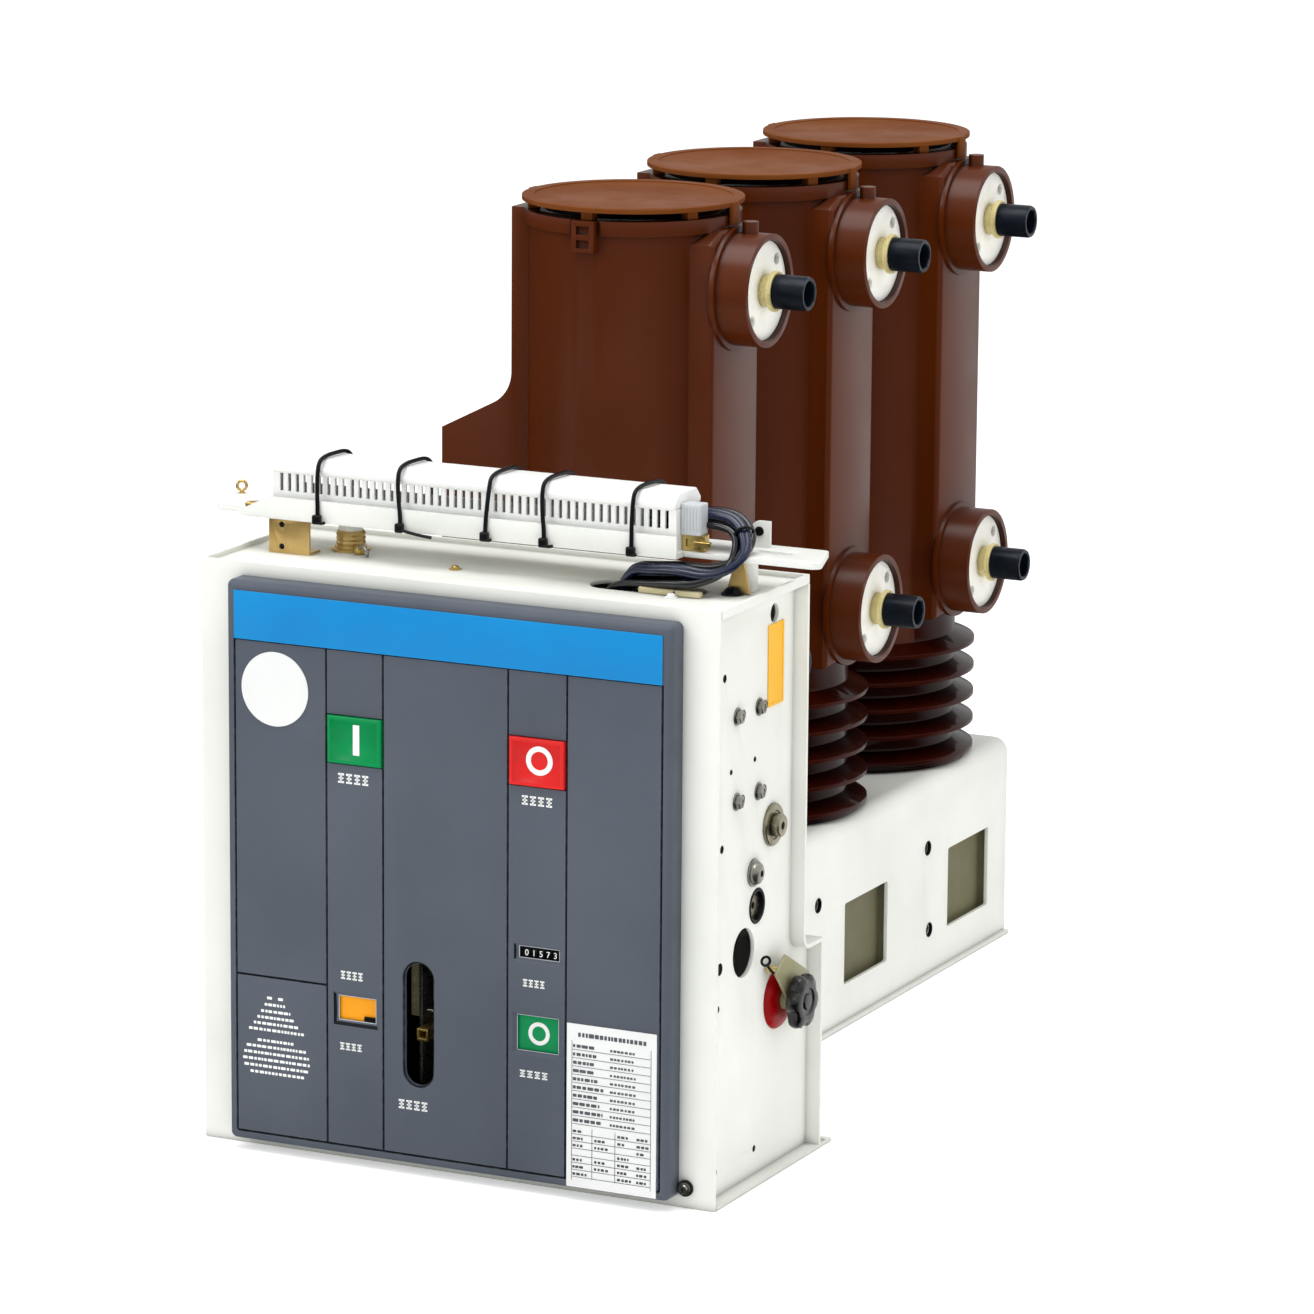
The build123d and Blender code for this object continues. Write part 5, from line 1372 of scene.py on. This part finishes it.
@dataclass
class Interlock:
    """The red disc, bent leaf and black knob at the right side's foot."""

    dresser: Dresser
    y: float = 123.0
    z: float = 124.5
    knob_y: float = 124.5
    lobes: int = 6
    lobe_start: float = 0.0118
    lobe_reach: float = 0.0074
    hollow: float = 0.24
    swell: float = 1.07

    def build(self) -> None:
        """Dresses disc and leaf and models the knob and the ring on its link."""
        disc = turned("red_disc", spot(SIDE_X - 0.1, self.y, self.z), X_AXIS,
                      [(21.9, 0), (21.9, 1.2), (20.8, 2.8), (18.6, 4.4), (14.0, 5.6), (8.0, 6.1), (7.2, 6.1),
                       (6.9, 5.6)], 48)
        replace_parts(fitted(disc, Coat.RED_PLASTIC), "interlock_disc")
        self.dresser.copy("interlock_plate", Coat.KHAKI_PLATE, 0.5)
        self.knob()
        self.link()

    def knob(self) -> None:
        """The knob: a round blank with deep finger hollows, a raised middle and soft edges."""
        knob = turned("black_knob", spot(SIDE_X + 14.5, self.knob_y, self.z), X_AXIS,
                      [(16.5, 0), (18.6, 1.0), (19.4, 2.6), (19.6, 5.4), (18.8, 8.0), (16.6, 9.8),
                       (12.6, 10.6), (10.0, 10.3), (9.2, 9.3), (6.2, 9.0), (5.4, 10.2), (2.8, 10.5)], 60)
        stem = turned("knob_stem", spot(SIDE_X + 11.9, self.knob_y, self.z), X_AXIS,
                      [(8.0, 0), (8.0, 3.0), (6.0, 3.2)], 28)
        fitted(stem, Coat.KNOB_BLACK)
        centre = spot(0, self.knob_y, self.z)
        for vertex in knob.data.vertices:
            arm = Vector((vertex.co.y - centre.y, vertex.co.z - centre.z))
            past = arm.length - self.lobe_start
            if past > 0:
                wave = 0.5 + 0.5 * math.cos(self.lobes * math.atan2(arm.y, arm.x) + 0.7)
                grown = self.swell - self.hollow * pow(1 - wave, 1.6) * past / self.lobe_reach
                vertex.co.y = centre.y + arm.x * grown
                vertex.co.z = centre.z + arm.y * grown
        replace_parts(fitted(smooth(knob, 40), Coat.KNOB_BLACK), "interlock_knob")

    def link(self) -> None:
        """The small ring, its link and the folded lug at the leaf's upper corner."""
        eye = hoop("link_eye", spot(SIDE_X + 8.5, self.y - 37, self.z + 37),
                   Vector((0.75, -0.66, 0.0)), 3.2, 1.0)
        rod = strand("link_rod", [spot(SIDE_X + 8.5, self.y - 35, self.z + 34),
                                  spot(SIDE_X + 9, self.y - 32, self.z + 30),
                                  spot(SIDE_X + 10, self.y - 27, self.z + 26)], 1.1)
        fitted(eye, Coat.STUB_DARK)
        fitted(rod, Coat.STUB_DARK)
        lug = slab("link_lug", spot(SIDE_X + 2, self.y - 23, self.z + 24),
                   spot(SIDE_X + 10.5, self.y - 17, self.z + 29), 0.9)
        fitted(lug, Coat.BRASS)


@dataclass
class TopBar:
    """The lifting bar with its shelf, bracket, boss, eye and tab."""

    dresser: Dresser
    bar_top: float = 455.0
    eye_place: tuple = (-30.0, 112.0)
    post: tuple = (72.0, 91.0)
    shaded_hole_zs: tuple = (447.0, 431.0)

    def build(self) -> None:
        """Dresses bar and bracket and adds the fittings that they carry."""
        self.dresser.copy("lifting_bar", Coat.BAR_PAINT, 0.5)
        self.dresser.copy("duct_bracket", Coat.ZINC_YELLOW, 0.5)
        eye = hoop("bar_eye", spot(*self.eye_place, self.bar_top + 5.6), Vector((0.5, -0.8, 0.1)), 3.4, 1.1)
        shank = turned("bar_eye_shank", spot(*self.eye_place, self.bar_top - 0.2), Z_AXIS,
                       [(2.6, 0), (2.6, 0.8), (1.3, 1.0), (1.2, 2.6)], 16)
        fitted(eye, Coat.BRASS)
        fitted(shank, Coat.BRASS)
        self.bracket_screw()
        self.boss()
        self.clip()

    def bracket_screw(self) -> None:
        """The screw at the bracket's foot, two dark discs in the bracket's holes as painted shade, and the
        block on the bar beside it.
        """
        head = turned("bracket_screw", spot(36, 61.5, TRAY_FLOOR + 2), Z_AXIS,
                      [(4.2, 0), (4.2, 0.8), (3.0, 1.0), (2.8, 2.4), (1.8, 3.0), (0.8, 3.0), (0.8, 2.0)], 20)
        fitted(head, Coat.BRASS)
        for i, z in enumerate(self.shaded_hole_zs):
            bracket_shade = turned(f"bracket_rivet_{i}", spot(34.5, 58.2, z), TO_FRONT,
                           [(3.4, 0), (3.4, 0.8), (2.6, 1.0), (1.6, 0.7)], 20)
            fitted(bracket_shade, Coat.STUB_DARK)
        block = slab("bracket_block", spot(3, 58, self.bar_top - 0.1), spot(22, 65, self.bar_top + 5.5),
                     0.9)
        fitted(sunk(block, Z_AXIS, 1.5, 0.8), Coat.ZINC_YELLOW)

    def boss(self) -> None:
        """The grooved nut on the left post, with a small hook and ball beside it."""
        nut = turned("post_nut", spot(*self.post, TRAY_FLOOR), Z_AXIS,
                     [(14.0, 0), (14.0, 1.4), (13.2, 2.0), (11.6, 2.2), (11.6, 4.0), (10.4, 4.4), (10.8, 6.0),
                      (10.2, 7.6), (10.8, 9.2), (10.2, 10.8), (10.8, 12.4), (10.0, 14.0), (9.1, 15.0)], 36)
        fitted(nut, Coat.ZINC_YELLOW)
        hook = strand("post_hook", [spot(83, 80, 427), spot(87, 76, 431), spot(92, 72, 434),
                                    spot(97, 70, 431), spot(96, 70, 427)], 1.6)
        fitted(hook, Coat.ZINC)
        ball = turned("post_ball", spot(86, 78, TRAY_FLOOR), Z_AXIS,
                      [(3.0, 0), (3.8, 1.2), (4.2, 3.0), (3.6, 5.0), (2.0, 6.4)], 24)
        fitted(ball, Coat.BRASS)

    def clip(self) -> None:
        """The wedge, the dark eyelet and the dark hub at the bar's right end."""
        wedge = slab("tab_wedge", spot(378, 76.5, 426.5), spot(396, 79.5, 454.5), 0.6)
        with Bench(wedge, "VERT") as bench:
            mesh = bmesh.from_edit_mesh(wedge.data)
            high = spot(0, 0, 448).z
            for vertex in mesh.verts:
                vertex.select_set(vertex.co.z > high)
            bmesh.update_edit_mesh(wedge.data)
            bpy.ops.transform.resize(value=(0.25, 0.8, 1.0), center_override=spot(388, 78, 454))
        fitted(wedge, Coat.ZINC_YELLOW)
        eyelet = turned("tab_eyelet", spot(390.5, 104.2, 466.5), TO_FRONT,
                        [(3.4, 0), (3.4, 1.0), (2.8, 1.4), (2.0, 1.2), (1.8, 0.4)], 24)
        fitted(eyelet, Coat.DRUM_BLACK)
        hub = turned("tab_hub", spot(384, 74, TRAY_FLOOR), Z_AXIS,
                     [(8.0, 0), (8.0, 1.2), (6.4, 2.0), (4.6, 4.4), (3.6, 5.0), (1.6, 5.0), (1.4, 4.0)], 28)
        fitted(hub, Coat.STUB_DARK)


@dataclass
class WiringDuct:
    """The combed duct with its lid, ties and plug."""

    dresser: Dresser
    tie_xs: tuple = (66.0, 131.0, 204.0, 246.0, 317.0)
    leans: tuple = (0.0, 2.0, -3.0, 1.5, -1.0)
    tails: tuple = (7, 26, 6, 8, 5)
    tail_ends: tuple = (452.8, 449.8, 452.8, 452.8, 452.8)
    band: float = 1.55
    plug_ribs: int = 6
    rib_pitch: float = 2.4

    def build(self) -> None:
        """Dresses duct and lid and adds ties and plug."""
        self.dresser.copy("wiring_duct", Coat.DUCT_WHITE, 0.25, 1)
        self.dresser.copy("duct_cover", Coat.DUCT_WHITE, 1.2, 3, 20)
        self.ties()
        self.plug()

    def ties(self) -> None:
        """The ties, each a round band over lid and front, with its head and a short tail."""
        bands = []
        for i, (x, lean, length, end) in enumerate(zip(self.tie_xs, self.leans, self.tails, self.tail_ends)):
            foot = x + lean
            points = [spot(x, 104, 452), spot(x, 103.5, 470), spot(x + 1, 102.2, 486), spot(x + 2, 101, 493),
                      spot(x + 1, 94, 498.2), spot(x, 80, 498.6), spot(x - 1, 66, 498.2),
                      spot(x - 1.5, 57.5, 495.5), spot(x - 1.5, 55.0, 487), spot(x - 1 + lean / 2, 53.4, 473),
                      spot(foot, 52.3, 462), spot(foot, 52.0, 452.5)]
            bands.append(meshed(strand(f"tie_band_{i}", points, self.band)))
            bands.append(slab(f"tie_head_{i}", spot(foot - 3.4, 48.9, 450.8),
                              spot(foot + 3.0, 53.6, 457.6), 1.1, 2))
            tail = strand(f"tie_tail_{i}", [spot(foot, 50.5, 453.5), spot(foot + length * 0.4, 49.6, 451.0),
                                            spot(foot + length, 50.0, end)], 1.2)
            bands.append(meshed(tail))
        piece = smooth(joined(bands, "cable_ties"), 50)
        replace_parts(fitted(piece, Coat.TIE_BLACK), "duct_ties")

    def plug(self) -> None:
        """The ribbed plug with its brass seat and lug at the duct's right end."""
        body = slab("plug_body", spot(347.2, 66.2, 466.5), spot(362.8, 78.8, 488.8), 1.0, 2)
        ribs = [body]
        for i in range(self.plug_ribs):
            x = 348.6 + i * self.rib_pitch
            ribs.append(slab(f"plug_rib_{i}", spot(x, 65.5, 469.5), spot(x + 1.2, 66.8, 487), 0.3, 1))
        piece = fitted(joined(ribs, "ribbed_plug"), Coat.PLUG_GREY)
        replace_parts(piece, "plug_connector")
        seat = slab("plug_seat", spot(347.4, 68.2, 455.1), spot(364.8, 76.8, 467), 0.7, 2)
        fitted(sunk(seat, TO_FRONT, 2.4, 1.6), Coat.BRASS)
        lug = slab("plug_lug", spot(358, 64.5, 459), spot(371, 67.5, 463), 0.6, 2)
        fitted(lug, Coat.BRASS)


@dataclass
class WireLoom:
    """The dark wires from the duct's end, round and down through the tray."""

    radius: float = 2.9
    route: tuple = ((318, 84, 474), (346, 86, 476), (368, 87, 478.5), (386, 84, 475), (395, 74, 461),
                    (390, 63, 449), (372, 57, 441.5), (350, 58, 437), (330, 61, 434.5), (312, 65, 433),
                    (299, 68, 424), (295, 69, 402))
    spread: tuple = ((-8, -5), (-3, 3.5), (2, -5.5), (6, 3), (-6, 2), (0, -1.5), (5, -3.5), (8.5, -1))
    blue_ones: tuple = (1, 4, 6)
    swing: float = 0.8
    out_share: float = 0.32
    bend_share: float = 0.6
    tray_share: float = 0.87
    tray_lift: float = 4.5

    def points(self, index: int, across: float, above: float) -> list[Vector]:
        """Gives a strand's control points: beside, above, then flat along the tray, then down the hole.

        Args:
            index: the strand's number.
            across: how far it lies to one side of the route, in millimetres.
            above: how far it lies above the route.

        Returns:
            The points, in metres.
        """
        points = []
        last = len(self.route) - 1
        for step, (x, y, z) in enumerate(self.route):
            part = step / last
            swing = self.swing * math.sin(1.9 * step + 2.3 * index)
            if part < self.out_share:
                points.append(spot(x, y + across + swing, z + above))
            elif part < self.bend_share:
                points.append(spot(x + above * 1.2, y + across * 0.8 + swing,
                                   z + across * 0.4 + above * 0.6))
            elif part < self.tray_share:
                points.append(spot(x + swing * 2, y + across * 1.2,
                                   z + self.tray_lift + above * 1.3 + swing * 0.5))
            else:
                points.append(spot(x + above * 1.3, y + across * 1.1, z))
        return points

    def build(self) -> None:
        """Lays eight strands beside each other and the tie round them."""
        strands = []
        for i, (across, above) in enumerate(self.spread):
            strands.append(strand(f"strand_{i}", self.points(i, across, above), self.radius))
        for i, piece in enumerate(strands):
            fitted(piece, Coat.WIRE_BLUE if i in self.blue_ones else Coat.WIRE_DARK)
        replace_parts(strands[0], "loom_wire_1", "loom_wire_2", "loom_wire_3")
        tie = hoop("loom_tie", Vector((0, 0, 0)), Z_AXIS, 9.6, 1.2)
        tie.scale = (1.0, 0.72, 1.0)
        settle(tie)
        tie.rotation_mode = "QUATERNION"
        tie.rotation_quaternion = Z_AXIS.rotation_difference(Vector((0.55, -0.45, -0.7)))
        tie.location = spot(390.5, 79.5, 468.5)
        fitted(settle(tie), Coat.TIE_BLACK)


@dataclass
class BaseFrame:
    """The folded channel under the poles, its window screens and bolts."""

    dresser: Dresser
    wall: float = 289.0
    bolts: tuple = ((438.0, 107.5), (649.3, 106.5), (654.2, 38.5))

    def build(self) -> None:
        """Dresses frame and screens, adds the bolts in its holes and black rings in the holes as painted
        shade.
        """
        self.dresser.copy("base_frame", Coat.POWDER_WHITE, 0.7)
        self.dresser.copy("base_screens", Coat.SCREEN_OLIVE, 0.4)
        heads = []
        for i, (y, z) in enumerate(self.bolts):
            heads.append(turned(f"frame_bolt_{i}", spot(self.wall - 7, y, z), X_AXIS,
                                [(5.7, 0), (5.7, 3.6), (5.0, 4.4), (3.0, 4.4), (2.7, 3.0)], 6))
        fitted(joined(heads, "frame_bolts"), Coat.ZINC)
        # Black rings lining the holes' walls round the bolts: painted shade.
        rings = []
        for i, (y, z) in enumerate(self.bolts):
            ring = turned(f"frame_ring_{i}", spot(self.wall - 2.8, y, z), X_AXIS,
                          [(5.95, 0), (5.95, 3.0), (5.7, 3.2), (5.2, 2.9), (5.0, 0.3)], 28)
            rings.append(bridged(ring, 28))
        fitted(joined(rings, "frame_hole_shade_rings"), Coat.DRUM_BLACK)


@dataclass
class Poles:
    """The three moulded poles and their caps."""

    dresser: Dresser
    shed_top: float = 281.0

    def build(self) -> None:
        """Dresses poles and caps; the sheds get a darker copy of the tubes' brown, a painted shade."""
        for i in (1, 2, 3):
            pole = self.dresser.copy(f"insulator_{i}", Coat.EPOXY_BROWN, 1.0, 2, 28)
            # Faces below the shed top take the darker copy, a painted shade.
            pole.data.materials.append(Coat.SHED_BROWN.value.material())
            for face in pole.data.polygons:
                face.material_index = int(face.center.z < self.shed_top / 1000)
            self.dresser.copy(f"pole_cap_{i}", Coat.CAP_BROWN, 0.6)


@dataclass
class Terminals:
    """The six terminals: disc, ring and stub."""

    dresser: Dresser
    disc_face: float = 107.0
    hole_circle: float = 29.5

    def build(self) -> None:
        """Dresses the discs and turns the rings, the stubs and the screws sunk in the discs' holes, the
        screws in near-black as painted shade of the holes.
        """
        self.dresser.copy("terminal_discs", Coat.DISC_METAL, 0.5)
        reach = self.hole_circle / math.sqrt(2)
        face, first_y, first_z = POLE_X + self.disc_face, POLE_YS[0], TERMINAL_ZS[0]
        hole = turned("disc_screw", spot(face - 5.6, first_y + reach, first_z + reach), X_AXIS,
                      [(4.3, 0), (4.3, 1.6), (3.7, 2.0), (2.2, 2.0), (2.0, 1.2)], 20)
        back = Vector((0, -2 * reach / 1000, -2 * reach / 1000))
        ring = turned("contact_ring", spot(face, first_y, first_z), X_AXIS,
                      [(12.2, 0), (12.2, 6.6), (14.9, 7.0), (15.2, 8.0), (15.2, 9.6), (14.4, 10.6),
                       (12.9, 10.6), (12.8, 9.8)], 40)
        stub = turned("contact_stub", spot(face, first_y, first_z), X_AXIS,
                      [(12.6, 8), (12.74, 10.0), (12.74, 34.2), (11.9, 35.9), (10.0, 35.9), (9.4, 35.2),
                       (9.2, 18.0), (3.0, 16.5)], 40)
        rings, stubs, screws = [], [], []
        for y in POLE_YS:
            for z in TERMINAL_ZS:
                move = Vector((0, (y - first_y) / 1000, (z - first_z) / 1000))
                rings.append(twin(ring, "ring", move))
                stubs.append(twin(stub, "stub", move))
                screws += [twin(hole, "screw", move), twin(hole, "screw", move + back)]
        for master in (ring, stub, hole):
            bpy.data.objects.remove(master)
        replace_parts(fitted(joined(rings, "contact_rings"), Coat.PALE_BRASS), "terminal_rings")
        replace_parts(fitted(joined(stubs, "contact_stubs"), Coat.STUB_DARK), "terminal_stubs")
        # The screws' near-black is a painted shade for the holes.
        fitted(joined(screws, "disc_screws"), Coat.DARK_INSIDE)


def main() -> None:
    """Builds the studio and every sub-assembly."""
    logging.basicConfig(level=logging.INFO, format="%(message)s")
    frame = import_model()
    dresser, printing = Dresser(frame["nodes"]), Printing()
    Studio().build()
    for part in (DriveBox(dresser), ControlPanel(dresser, printing), Buttons(dresser, printing),
                 Windows(dresser, printing), LeverSlot(dresser), SideFittings(dresser), Interlock(dresser),
                 TopBar(dresser), WiringDuct(dresser), WireLoom(), BaseFrame(dresser), Poles(dresser),
                 Terminals(dresser)):
        LOG.info("building %s", type(part).__name__)
        part.build()


if __name__ == "__main__":
    main()
